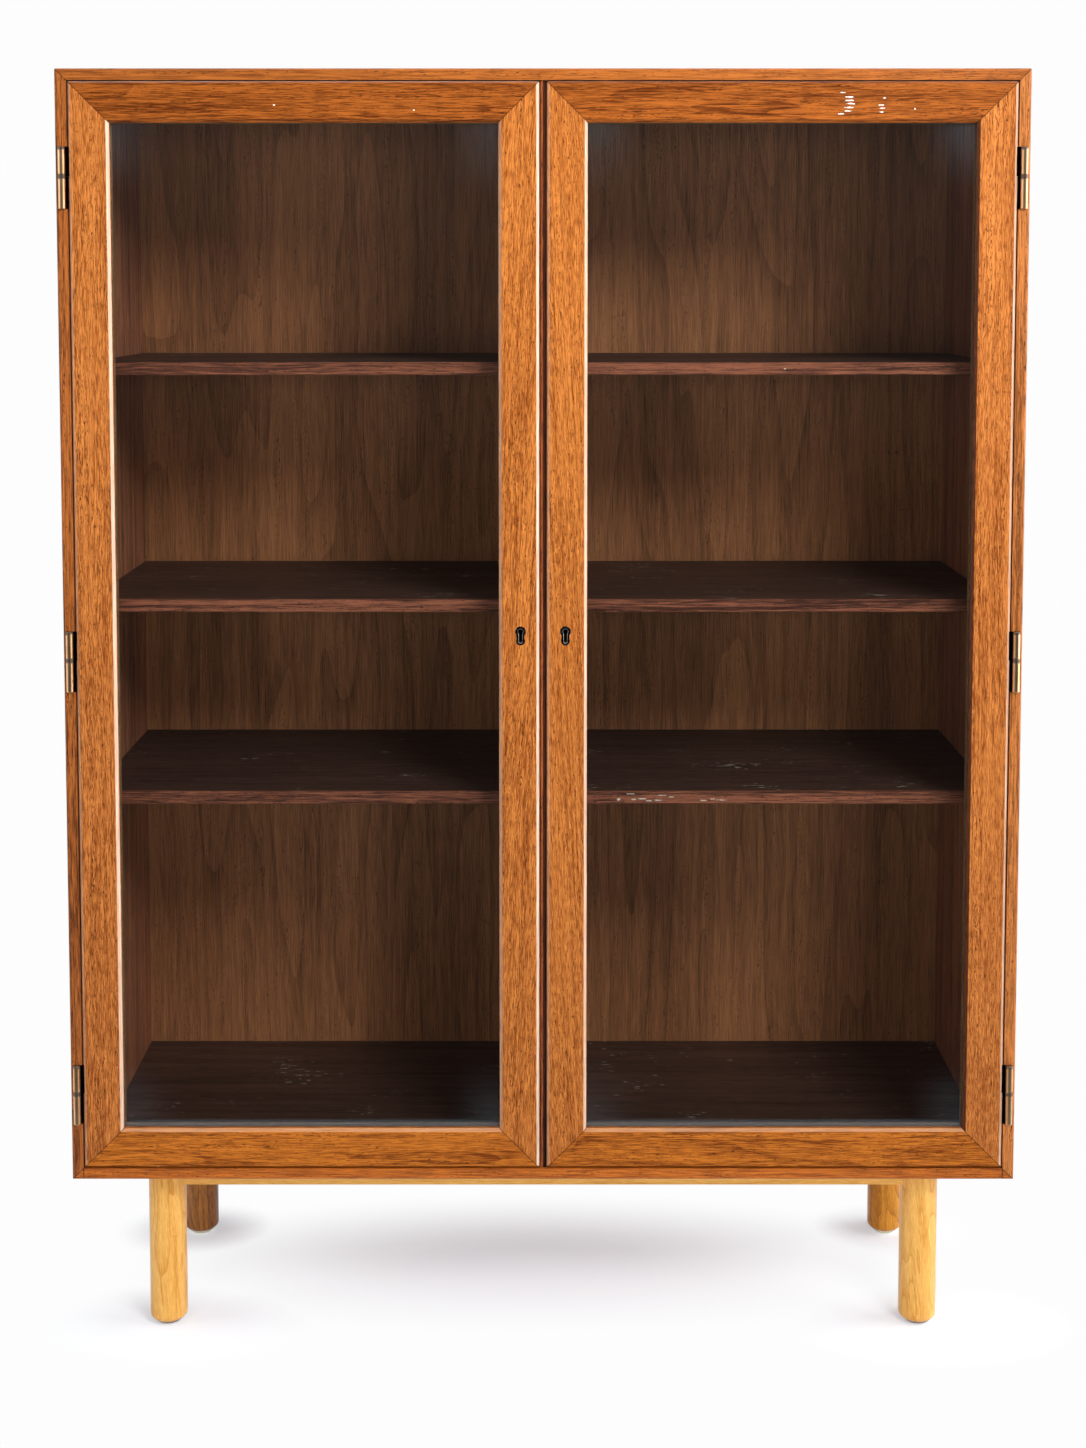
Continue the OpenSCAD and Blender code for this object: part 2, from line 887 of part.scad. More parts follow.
// Screws up through the rails into the bottom panel, three to a long rail and one to a short one
module at_base_screws() {
    for (y = [front_leg_set, back_leg_y])
        for (x = [-leg_span / 3, 0, leg_span / 3])
            translate([x, y, base_h - rail_h]) children();
    for (x = [-leg_span / 2, leg_span / 2])
        translate([x, front_leg_set + leg_run / 2, base_h - rail_h]) children();
}

module base_screws() {
    color(steel) at_base_screws() {
        translate([0, 0, base_screw_sink - base_screw_head_h])
            cylinder(h = base_screw_head_h, r = base_screw_head_r);
        translate([0, 0, base_screw_sink])
            cylinder(h = rail_h - base_screw_sink + base_screw_bite, r = base_screw_r);
    }
}

module base_screw_sinks() {
    at_base_screws() translate([0, 0, -over]) cylinder(h = base_screw_sink + over, r = base_screw_sink_r);
}

in_place() top_panel();
in_place() bottom_panel();
in_place() left_side();
in_place() right_hand() left_side();  // right_side
in_place() centre_partition();
in_place() back_panel();
in_place() color(teak) case_edging("top", carcass_w);  // top_edging
in_place() color(teak) case_edging("bottom", carcass_w);  // bottom_edging
in_place() left_edging();
in_place() right_hand() left_edging();  // right_edging
in_place() centre_edging();
in_place() front_leg(-leg_span / 2);  // front_left_leg
in_place() front_leg(leg_span / 2);  // front_right_leg
in_place() back_leg(-leg_span / 2, walnut_oak);  // back_left_leg
in_place() back_leg(leg_span / 2, oak);  // back_right_leg
in_place() long_rail(front_leg_set);  // front_rail
in_place() long_rail(back_leg_y);  // back_rail
in_place() short_rail(-leg_span / 2);  // left_rail
in_place() short_rail(leg_span / 2);  // right_rail
in_place() front_glides();
in_place() back_feet();
in_place() base_screws();
in_place() left_shelf(top_shelf_z);  // left_top_shelf
in_place() left_shelf(middle_shelf_z);  // left_middle_shelf
in_place() left_shelf(low_shelf_z);  // left_low_shelf
in_place() right_hand() left_shelf(top_shelf_z);  // right_top_shelf
in_place() right_hand() left_shelf(middle_shelf_z);  // right_middle_shelf
in_place() right_hand() left_shelf(low_shelf_z);  // right_low_shelf
in_place() shelf_edgings();
in_place() shelf_pins();
in_place() left_hinge_stile();
in_place() left_lock_stile();
in_place() left_top_rail();
in_place() left_bottom_rail();
in_place() left_glass();
in_place() left_glazing_beads();
in_place() left_lock_case();
in_place() left_lock_bolt();
in_place() left_escutcheon();
in_place() right_hand() left_hinge_stile();  // right_hinge_stile
in_place() right_hand() left_lock_stile();  // right_lock_stile
in_place() right_hand() left_top_rail();  // right_top_rail
in_place() right_hand() left_bottom_rail();  // right_bottom_rail
in_place() right_hand() left_glass();  // right_glass
in_place() right_hand() left_glazing_beads();  // right_glazing_beads
in_place() right_hand() left_lock_case();  // right_lock_case
in_place() right_hand() left_lock_bolt();  // right_lock_bolt
in_place() right_hand() left_escutcheon();  // right_escutcheon
in_place() left_upper_knuckles();
in_place() right_hand() left_upper_knuckles();  // right_upper_knuckles
in_place() left_lower_knuckles();
in_place() right_hand() left_lower_knuckles();  // right_lower_knuckles
in_place() hinge_pins();
in_place() case_hinge_screws();
in_place() left_door_screws();
in_place() right_hand() left_door_screws();  // right_door_screws
in_place() strike_plates();
in_place() back_screws();
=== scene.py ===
"""Looks of a glazed teak bookcase: its finishes, turned legs, keyhole liners, wear, camera and studio."""

import logging
import math
from collections.abc import Iterable, Sequence
from dataclasses import dataclass, replace
from enum import Enum

import bmesh
import bpy
import numpy as np
from bpy.types import Material, Node, NodeSocket, NodeTree, Object
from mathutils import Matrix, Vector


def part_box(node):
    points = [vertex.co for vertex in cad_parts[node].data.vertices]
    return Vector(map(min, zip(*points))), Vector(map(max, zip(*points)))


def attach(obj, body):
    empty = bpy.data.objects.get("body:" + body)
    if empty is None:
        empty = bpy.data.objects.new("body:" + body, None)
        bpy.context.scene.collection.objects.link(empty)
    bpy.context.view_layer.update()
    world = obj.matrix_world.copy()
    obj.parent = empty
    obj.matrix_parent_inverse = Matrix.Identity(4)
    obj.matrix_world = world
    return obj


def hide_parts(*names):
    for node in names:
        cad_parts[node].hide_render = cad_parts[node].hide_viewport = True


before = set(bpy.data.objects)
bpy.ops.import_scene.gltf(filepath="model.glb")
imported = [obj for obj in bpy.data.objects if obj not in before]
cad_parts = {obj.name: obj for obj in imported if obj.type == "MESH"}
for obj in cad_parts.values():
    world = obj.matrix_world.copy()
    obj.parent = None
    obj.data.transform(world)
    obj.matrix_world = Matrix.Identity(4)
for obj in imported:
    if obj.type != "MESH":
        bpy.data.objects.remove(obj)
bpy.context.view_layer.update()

Feed = float | Sequence | Node | NodeSocket | None  # What can go into a socket of a node

LOG = logging.getLogger("bookcase")
MM = 0.001
FAR = 9.0  # Greater than any distance that it is compared with
SEAM = 1e-6  # Points nearer to each other than this are one point
TINY = 1e-9  # Keeps a divisor from nought

# Widths on the solids that the finishes follow
DOOR_ARRIS = 4.0 * MM
DOOR_BEVEL = 4.0 * MM
HINGE_JOINTS_Z = (1.483, 0.881, 0.325)
UPPER_KNUCKLE = 36.0 * MM

# How far a seed moves a board through the noise, in millimetres along each axis
SEED_STEPS = (731.0, 417.0, 293.0)

# Levels that a noise has to top to be a pore or a fleck of dust, and how far full cover lowers them
PORE_LEVEL, PORE_FALL = 1.08, 0.22
FLECK_LEVEL, FLECK_FALL = 1.06, 0.04

# Glue and dust, and the painted shade for the legs' feet and the hinge recesses, as colours
GLUE = "#241007"
DUST = "#b3a59a"
FOOT_SHADE = "#5e3a16"
RECESS_SHADE = "#140c07"


def linear(code: str) -> tuple[float, float, float, float]:
    """Turns an sRGB hex colour into linear light by the sRGB curve.

    Args:
        code: Colour as "#rrggbb".

    Returns:
        Red, green, blue and an alpha of 1.
    """
    parts = np.array([int(code[i : i + 2], 16) for i in (1, 3, 5)]) / 255
    light = np.where(parts <= 0.04045, parts / 12.92, ((parts + 0.055) / 1.055) ** 2.4)
    return (*light.tolist(), 1.0)


def add_node(tree: NodeTree, kind: str, inputs: Iterable[Feed] | dict = (), **settings: object) -> Node:
    """Adds a node, sets its properties and fills its inputs.

    Args:
        tree: Tree that gets the node.
        kind: Blender's name for the node type, without "ShaderNode".
        inputs: What goes into the sockets, in their order, or by name or number. A node stands for
            its first output, and None leaves a socket as it is.
        settings: Properties of the node.

    Returns:
        The new node.
    """
    made = tree.nodes.new(f"ShaderNode{kind}")
    for name, value in settings.items():
        setattr(made, name, value)
    for key, value in (inputs if isinstance(inputs, dict) else dict(enumerate(inputs))).items():
        if isinstance(value, Node):
            value = value.outputs[0]
        if isinstance(value, NodeSocket):
            tree.links.new(value, made.inputs[key])
        elif value is not None:
            made.inputs[key].default_value = value
    return made


def object_axes(tree: NodeTree) -> bpy.types.NodeOutputs:
    """Outputs X, Y and Z of a point in Object coordinates, which stay with a piece as it moves."""
    return add_node(tree, "SeparateXYZ", (add_node(tree, "TexCoord").outputs["Object"],)).outputs


def layered(tree: NodeTree, ground: str, layers: Iterable[tuple[Feed, Feed | str]]) -> NodeSocket:
    """Lays colours over a ground colour, one after another.

    Args:
        tree: Tree that gets the nodes.
        ground: Hex code of the colour below.
        layers: Share and colour of each layer. A colour is a hex code or a socket.

    Returns:
        Socket with the colour on top.
    """
    colour = linear(ground)
    for share, paint in layers:
        paint = linear(paint) if isinstance(paint, str) else paint
        colour = add_node(tree, "Mix", {0: share, 6: colour, 7: paint}, data_type="RGBA").outputs[2]
    return colour


def dress(piece: Object, material: Material) -> None:
    """Gives a piece one material in place of those it has."""
    piece.data.materials.clear()
    piece.data.materials.append(material)


def grid_mesh(name: str, points: np.ndarray, wrap_u: bool, wrap_v: bool) -> Object:
    """Makes a smooth quad mesh from a surface that is a function of two parameters.

    Args:
        name: Name of the object.
        points: Array of rows by columns by 3, in metres. Rows run along u and columns along v, and
            u crossed with v points outwards.
        wrap_u: The last row joins the first.
        wrap_v: The last column joins the first.

    Returns:
        The new object, linked to the scene.
    """
    rows, columns = points.shape[:2]
    index = np.arange(rows * columns).reshape(rows, columns)
    if wrap_u:
        index = np.vstack([index, index[:1]])
    if wrap_v:
        index = np.hstack([index, index[:, :1]])
    corners = [index[:-1, :-1], index[1:, :-1], index[1:, 1:], index[:-1, 1:]]
    mesh = bpy.data.meshes.new(name)
    mesh.from_pydata(points.reshape(-1, 3), [], np.stack(corners, axis=-1).reshape(-1, 4))
    mesh.shade_smooth()
    made = bpy.data.objects.new(name, mesh)
    bpy.context.scene.collection.objects.link(made)
    return made


def close_poles(piece: Object) -> None:
    """Merges the points that meet at a pole, so that the piece is closed there.

    Args:
        piece: Mesh object that is changed.
    """
    shell = bmesh.new()
    shell.from_mesh(piece.data)
    bmesh.ops.remove_doubles(shell, verts=shell.verts, dist=SEAM)
    shell.to_mesh(piece.data)
    shell.free()


class Grain(Enum):
    """Axis that the grain of a board follows, as the turn that brings it to the X axis."""

    ALONG_X = (0.0, 0.0, 0.0)
    ALONG_Y = (0.0, 0.0, -math.pi / 2)
    ALONG_Z = (0.0, math.pi / 2, 0.0)


class Side(Enum):
    """Left or right of the bookcase, as the sign of X."""

    LEFT = -1
    RIGHT = 1


@dataclass(frozen=True)
class Frame2D:
    """Outer rectangle of a mitred frame seen from the front, in metres, and the depth of its front."""

    centre_x: float
    centre_z: float
    half_w: float
    half_h: float
    front_y: float

    @classmethod
    def around(cls, names: list[str]) -> "Frame2D":
        """Finds the outer rectangle of some nodes.

        Args:
            names: Nodes that make up a frame.

        Returns:
            The rectangle.
        """
        lows = np.array([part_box(name)[0] for name in names]).min(axis=0)
        highs = np.array([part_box(name)[1] for name in names]).max(axis=0)
        middle, half = (lows + highs) / 2, (highs - lows) / 2
        return cls(float(middle[0]), float(middle[2]), float(half[0]), float(half[2]), float(lows[1]))

    def gaps(self, tree: NodeTree) -> list[Node]:
        """Distances from a point to the nearest side and to the nearest end.

        The point is folded about the middle, so one pair of distances serves all four corners.

        Args:
            tree: Tree of the material.

        Returns:
            Nodes with the distance to a side and to an end, positive inside.
        """
        axes, found = object_axes(tree), []
        for name, middle, half in (("X", self.centre_x, self.half_w), ("Z", self.centre_z, self.half_h)):
            off = add_node(tree, "Math", (axes[name], middle), operation="SUBTRACT")
            size = add_node(tree, "Math", (off,), operation="ABSOLUTE")
            found.append(add_node(tree, "Math", (half, size), operation="SUBTRACT"))
        return found

    def inset(self, tree: NodeTree) -> Node:
        """Distance from a point to the outline: the lesser of the two gaps."""
        return add_node(tree, "Math", self.gaps(tree), operation="MINIMUM")


@dataclass(frozen=True)
class Spot:
    """An ellipse on the front of a piece or on the floor: its middle and its half sizes, in metres."""

    x: float
    second: float
    half_w: float
    half_h: float

    @staticmethod
    def nearest(tree: NodeTree, spots: Iterable["Spot"], axis: int) -> Node:
        """Distance from a point to the middle of the nearest ellipse, measured in its half sizes.

        Args:
            tree: Tree of the material.
            spots: The ellipses.
            axis: Their second axis, 1 (Y) for those on a floor and 2 (Z) for those on a front.

        Returns:
            Node with a value under 1 inside an ellipse.
        """
        place = add_node(tree, "TexCoord").outputs["Object"]
        least = FAR
        for spot in spots:
            shift, scale = [0.0, 0.0, 0.0], [0.0, 0.0, 0.0]
            for number, middle, half in ((0, spot.x, spot.half_w), (axis, spot.second, spot.half_h)):
                shift[number], scale[number] = -middle / half, 1 / half
            local = add_node(tree, "Mapping", (place, shift, None, scale))
            length = add_node(tree, "VectorMath", (local,), operation="LENGTH").outputs["Value"]
            least = add_node(tree, "Math", (least, length), operation="MINIMUM")
        return least


@dataclass(frozen=True)
class LiningAndShade:
    """Colours for the faces of a panel deeper than a depth in its outline: its outline, depth and colours.

    On the sides and panels they are the stain on faces that look into the case; on the right hinge
    stile's bevel and along the centre strip they are painted shade.
    """

    outline: Frame2D
    depth: float
    light: str
    dark: str


@dataclass(frozen=True)
class ArrisHighlight:
    """Painted highlights on the front arrises and glass bevels of a door frame: pale colour where lamps
    glint.

    The outer arris reaches outer metres in from the outline, and the bevel starts inner metres in.
    Each share is that of the highlight colour; edges that face the lamps on the right get the most. It
    fades between two depths behind the front. Streaks of a length and a width in millimetres break it up,
    down to least of it where their noise is high.
    """

    outline: Frame2D
    inner: float
    outer: float = DOOR_ARRIS
    colour: str = "#f3d6bd"
    outer_share: float = 0.9
    inner_share: float = 0.9
    outer_fade: float = 0.2
    inner_fade: float = 0.5 * MM
    depth: tuple[float, float] = (3.4 * MM, 4.4 * MM)
    streak: tuple[float, float] = (60.0, 3.0)
    high: tuple[float, float] = (0.3, 0.55)
    least: float = 0.62


@dataclass(frozen=True)
class Figure:
    """How the grain of a kind of board is drawn: sizes in millimetres, and strengths as shares.

    Widths stand before their lengths. Broad bands, bands, fibres and rings colour the wood. Pores come
    in patches, patch_bands bands wide and patch_share strong, and a pore's noise fades over pore_edge.
    Wander is how far a slow bend of the given length and width moves the grain sideways, and
    wander_depth its share into the wood. Lean is the grain's slant in radians.
    """

    band: float = 6.0
    band_length: float = 480.0
    band_share: float = 0.9
    broad: float = 40.0
    broad_length: float = 700.0
    broad_share: float = 0.9
    fibre: float = 1.2
    fibre_length: float = 16.0
    fibre_share: float = 2.3
    ring: float = 46.0
    ring_length: float = 620.0
    ring_count: float = 9.0
    ring_share: float = 0.25
    pore: float = 0.8
    pore_length: float = 6.0
    pore_cover: float = 0.35
    pore_edge: float = 0.06
    patch_bands: float = 1.3
    patch_length: float = 260.0
    patch_share: float = 0.55
    wander: float = 3.0
    wander_depth: float = 0.4
    bend: tuple[float, float] = (210.0, 70.0)
    lean: float = 0.0


@dataclass(frozen=True)
class Finish:
    """A finish named for its real material. A subclass says in surface() how it was made."""

    name: str

    def surface(self, tree: NodeTree) -> Node:
        """Builds the shader of the finish in an empty tree."""
        raise NotImplementedError

    def material(self) -> Material:
        """Makes the node material.

        Returns:
            The material, with the finish's shader on its output.
        """
        made = bpy.data.materials.new(self.name)
        made.use_nodes = True
        made.node_tree.nodes.clear()
        add_node(made.node_tree, "OutputMaterial", (self.surface(made.node_tree),))
        return made

    def dress(self, *names: str) -> None:
        """Gives some nodes of the frame this finish, and reports them.

        Args:
            names: The nodes.
        """
        made = self.material()
        for name in names:
            dress(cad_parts[name], made)
            LOG.info("%s dressed in %s", name, self.name)


@dataclass(frozen=True)
class Wood(Finish):
    """Planed, sanded and oiled or lacquered wood.

    Growth bands, finer fibres and short dark pores all run with the grain. The eye reads warm
    stripes from afar and fine broken dark lines close by, under a soft sheen. Light and dark are
    the colours of early and late wood, and gloss is what each adds to the roughness. Flecks of dust
    and their clusters have a length and a width in millimetres. A share or cover of 1 hides the wood.
    """

    light: str
    dark: str
    pore: str
    grain: Grain
    seed: float = 0.0
    figure: Figure = Figure()
    roughness: float = 0.42
    specular: float = 0.25
    coat: float = 0.0
    gloss: tuple[float, float] = (-0.06, 0.08)
    relief: float = 0.10 * MM
    pore_depth: float = 0.78
    mitre: Frame2D | None = None
    butt_inset: float = 0.0
    glue_line: tuple[float, float] = (0.3 * MM, 0.95 * MM)
    glue_cover: float = 0.85
    lining_and_shade: LiningAndShade | None = None
    arris_highlight: ArrisHighlight | None = None
    chips_and_shade: tuple[Spot, ...] = ()
    chip_and_shade_colour: str = "#f4ece2"
    mark_ragged: float = 2.2
    mark_edge: tuple[float, float] = (1.85, 2.05)
    dust: float = 0.0
    fleck: tuple[float, float] = (14.0, 5.0)
    fleck_edge: float = 0.08
    fleck_cover: float = 0.9
    cluster: tuple[float, float] = (90.0, 60.0)
    cluster_share: float = 0.6
    foot_shade_below: float = 0.0
    foot_shade_full: float = 0.75
    foot_shade_cover: float = 0.8

    def grain_space(self, tree: NodeTree) -> Node:
        """Object coordinates in millimetres with X along the grain, bent a little across it.

        The bend is a slow noise times the figure's wander. The seed moves each board to another part
        of the noise.

        Args:
            tree: Tree of the material.

        Returns:
            Node with the coordinates.
        """
        place = add_node(tree, "TexCoord").outputs["Object"]
        turn_x, turn_y, turn_z = self.grain.value
        shift = tuple(self.seed * step for step in SEED_STEPS)
        turn = (turn_x, turn_y + self.figure.lean, turn_z)
        turned = add_node(tree, "Mapping", (place, shift, turn, (1 / MM, 1 / MM, 1 / MM)))
        length, width = self.figure.bend
        scale = (1 / length, 1 / width, 1 / width)
        slow = add_node(tree, "VectorMath", (turned, scale), operation="MULTIPLY")
        bend = add_node(tree, "TexNoise", {"Vector": slow, "Scale": 1.0, "Detail": 1.5}).outputs["Color"]
        centred = add_node(tree, "VectorMath", (bend, (0.5, 0.5, 0.5)), operation="SUBTRACT")
        reach = 2 * self.figure.wander
        sideways = (0.0, self.figure.wander_depth * reach, reach)
        across = add_node(tree, "VectorMath", (centred, sideways), operation="MULTIPLY")
        return add_node(tree, "VectorMath", (turned, across), operation="ADD")

    def streaks(self, tree: NodeTree, space: Node, length: float, width: float, detail: float) -> Node:
        """Noise stretched along the grain.

        Args:
            tree: Tree of the material.
            space: Grain coordinates in millimetres.
            length: Typical length of a streak in millimetres.
            width: Typical width of a streak in millimetres.
            detail: Octaves of the noise.

        Returns:
            Node with values about 0.5.
        """
        scale = (1 / length, 1 / width, 1 / width)
        drawn = add_node(tree, "VectorMath", (space, scale), operation="MULTIPLY")
        return add_node(
            tree, "TexNoise", {"Vector": drawn, "Scale": 1.0, "Detail": detail, "Roughness": 0.55}
        )

    def pores(self, tree: NodeTree, space: Node) -> Node:
        """Short dark pores, denser in some growth bands than in others.

        A streak noise passes where it tops a level, and a slower one moves that level up and down.
        Real pores are 0.2 to 0.4 mm wide; they are drawn about 1 mm wide so that they show.

        Args:
            tree: Tree of the material.
            space: Grain coordinates in millimetres.

        Returns:
            Node with 1 in a pore and 0 between them.
        """
        drawn = self.figure
        fine = self.streaks(tree, space, drawn.pore_length, drawn.pore, 0.0)
        slow = self.streaks(tree, space, drawn.patch_length, drawn.band * drawn.patch_bands, 2.0)
        lifted = add_node(tree, "Math", (slow, drawn.patch_share, fine), operation="MULTIPLY_ADD")
        level = PORE_LEVEL - PORE_FALL * drawn.pore_cover
        edge = (lifted, level - drawn.pore_edge, level + drawn.pore_edge)
        return add_node(tree, "MapRange", edge, interpolation_type="SMOOTHSTEP")

    def rings(self, tree: NodeTree, space: Node) -> Node:
        """Growth rings as the saw cut them, pale early wood that darkens to a sharp late edge.

        A slow streak noise is multiplied by ring_count, its fraction is taken, and the cube of that
        rises slowly and drops at once.

        Args:
            tree: Tree of the material.
            space: Grain coordinates in millimetres.

        Returns:
            Node with 0 in early wood and 1 at the late edge.
        """
        slow = self.streaks(tree, space, self.figure.ring_length, self.figure.ring, 1.0)
        many = add_node(tree, "Math", (slow, self.figure.ring_count), operation="MULTIPLY")
        part = add_node(tree, "Math", (many,), operation="FRACT")
        return add_node(tree, "Math", (part, 3.0), operation="POWER")

    def tone(self, tree: NodeTree, space: Node) -> Node:
        """Share of the dark colour: a half, plus each layer's distance from its mean times its share.

        Args:
            tree: Tree of the material.
            space: Grain coordinates in millimetres.

        Returns:
            Node with the share.
        """
        drawn = self.figure
        layers = (
            (self.streaks(tree, space, drawn.band_length, drawn.band, 3.0), 0.5, drawn.band_share),
            (self.streaks(tree, space, drawn.broad_length, drawn.broad, 2.0), 0.5, drawn.broad_share),
            (self.streaks(tree, space, drawn.fibre_length, drawn.fibre, 2.0), 0.5, drawn.fibre_share),
            (self.rings(tree, space), 0.25, drawn.ring_share),
        )
        total = 0.5 - sum(mean * share for _, mean, share in layers)
        for layer, _, share in layers:
            total = add_node(tree, "Math", (layer, share, total), operation="MULTIPLY_ADD")
        return total

    def joint_lines(self, tree: NodeTree) -> Node:
        """Thin dark glue lines at the mitres of a frame and, where set, across its members.

        A mitre is where the distances to the side and to the end are equal. A butt joint is where
        the distance to the side is butt_inset. The line is the half millimetre about it.

        Args:
            tree: Tree of the material.

        Returns:
            Node with glue_cover on a line and 0 off it.
        """
        side, end = self.mitre.gaps(tree)
        nearest = FAR
        for other in [end] + ([self.butt_inset] if self.butt_inset else []):
            skew = add_node(tree, "Math", (side, other), operation="SUBTRACT")
            away = add_node(tree, "Math", (skew,), operation="ABSOLUTE")
            nearest = add_node(tree, "Math", (nearest, away), operation="MINIMUM")
        return add_node(tree, "MapRange", (nearest, *self.glue_line, self.glue_cover, 0.0))

    def lined_and_shaded(self, tree: NodeTree) -> Node:
        """Finds the faces that take the lining's colours, the stain inside the case and the painted shade on
        a bevel and strip: those deeper than the lining's depth in its outline.
        """
        inset = self.lining_and_shade.outline.inset(tree)
        return add_node(tree, "Math", (inset, self.lining_and_shade.depth), operation="GREATER_THAN")

    def rubbed_and_highlit(self, tree: NodeTree, space: Node) -> Node:
        """Share of the painted highlight colour on the front arrises and bevel of a door member.

        Both bands, outside and at the glass, end one arris width behind the front, and a streak
        noise along the grain breaks them up.

        Args:
            tree: Tree of the material.
            space: Grain coordinates in millimetres.

        Returns:
            Node with the share.
        """
        edge = self.arris_highlight
        inset = edge.outline.inset(tree)
        start, end = (1 - edge.outer_fade) * edge.outer, edge.inner + edge.inner_fade
        outer = add_node(tree, "MapRange", (inset, start, edge.outer, edge.outer_share, 0.0))
        inner = add_node(tree, "MapRange", (inset, edge.inner, end, 0.0, edge.inner_share))
        either = add_node(tree, "Math", (outer, inner), operation="MAXIMUM")
        near, far = (edge.outline.front_y + depth for depth in edge.depth)
        shallow = add_node(tree, "MapRange", (object_axes(tree)["Y"], near, far, 1.0, 0.0))
        both = add_node(tree, "Math", (either, shallow), operation="MULTIPLY")
        wear_and_highlight = self.streaks(tree, space, *edge.streak, detail=3.0)
        broken = add_node(tree, "MapRange", (wear_and_highlight, *edge.high, 1.0, edge.least))
        return add_node(tree, "Math", (both, broken), operation="MULTIPLY")

    def marks(self, tree: NodeTree) -> Node:
        """Chips and scratches, and the painted shade in a keyhole bore: ellipses whose edge a fine noise,
        times the set raggedness, makes ragged.

        Args:
            tree: Tree of the material.

        Returns:
            Node with 1 in a mark.
        """
        place = add_node(tree, "TexCoord").outputs["Object"]
        ragged = add_node(tree, "TexNoise", {"Vector": place, "Scale": 420.0, "Detail": 3.0})
        nearest = Spot.nearest(tree, self.chips_and_shade, 2)
        moved = add_node(tree, "Math", (ragged, self.mark_ragged, nearest), operation="MULTIPLY_ADD")
        return add_node(tree, "MapRange", (moved, *self.mark_edge, 1.0, 0.0))

    def flecks(self, tree: NodeTree, space: Node) -> Node:
        """Dust and hair scratches: sparse pale flecks, in clusters where a slow noise is high.

        A fine streak noise passes where it tops a level that the slow noise moves. Real scratches are
        finer across; they are drawn wide because the boards are seen at a low angle.

        Args:
            tree: Tree of the material.
            space: Grain coordinates in millimetres.

        Returns:
            Node with the share of dust.
        """
        fine = self.streaks(tree, space, *self.fleck, detail=3.0)
        slow = self.streaks(tree, space, *self.cluster, detail=1.0)
        lifted = add_node(tree, "Math", (slow, self.cluster_share, fine), operation="MULTIPLY_ADD")
        low = FLECK_LEVEL - FLECK_FALL * self.dust
        return add_node(tree, "MapRange", (lifted, low, low + self.fleck_edge, 0.0, self.fleck_cover))

    def painted_foot_shade(self, tree: NodeTree) -> Node:
        """Painted shade where a leg's foot meets the floor: full up to a set share of the shade's height, and
        gone at that height.
        """
        height, end = object_axes(tree)["Z"], self.foot_shade_below
        return add_node(tree, "MapRange", (height, self.foot_shade_full * end, end, self.foot_shade_cover, 0.0))

    def surface(self, tree: NodeTree) -> Node:
        """Builds the shader: the grain's two colours, then the lining and painted shade, pores, painted
        highlights, glue lines, chips and the painted bore shade, dust and the painted foot shade over them.

        Args:
            tree: Tree of the material.

        Returns:
            The shader's node.
        """
        space = self.grain_space(tree)
        share, pores = self.tone(tree, space), self.pores(tree, space)
        layers = [(share, self.dark)]
        # The lining's colours: stain inside the case, and painted shade on the right hinge stile's bevel and
        # along the centre strip
        if self.lining_and_shade:
            stained = layered(tree, self.lining_and_shade.light, [(share, self.lining_and_shade.dark)])
            layers.append((self.lined_and_shaded(tree), stained))
        layers.append((add_node(tree, "Math", (pores, self.pore_depth), operation="MULTIPLY"), self.pore))
        # Painted highlights on the door arrises and bevels
        if self.arris_highlight:
            layers.append((self.rubbed_and_highlit(tree, space), self.arris_highlight.colour))
        if self.mitre:
            layers.append((self.joint_lines(tree), GLUE))
        # Chips and scratches; on a lock stile the same mask paints the shade of the dark keyhole bore
        if self.chips_and_shade:
            layers.append((self.marks(tree), self.chip_and_shade_colour))
        if self.dust:
            layers.append((self.flecks(tree, space), DUST))
        # Painted shade darkening the foot of a leg near the floor
        if self.foot_shade_below:
            layers.append((self.painted_foot_shade(tree), FOOT_SHADE))
        gloss = (share, None, None, *(self.roughness + more for more in self.gloss))
        sunk = add_node(tree, "Math", (pores, -1.0), operation="MULTIPLY")
        bump = {"Height": sunk, "Strength": 0.5, "Distance": self.relief}
        look = {
            "Base Color": layered(tree, self.light, layers),
            "Roughness": add_node(tree, "MapRange", gloss),
            "Specular IOR Level": self.specular,
            "Coat Weight": self.coat,
            "Coat Roughness": 0.22,
            "Normal": add_node(tree, "Bump", bump),
        }
        return add_node(tree, "BsdfPrincipled", look)


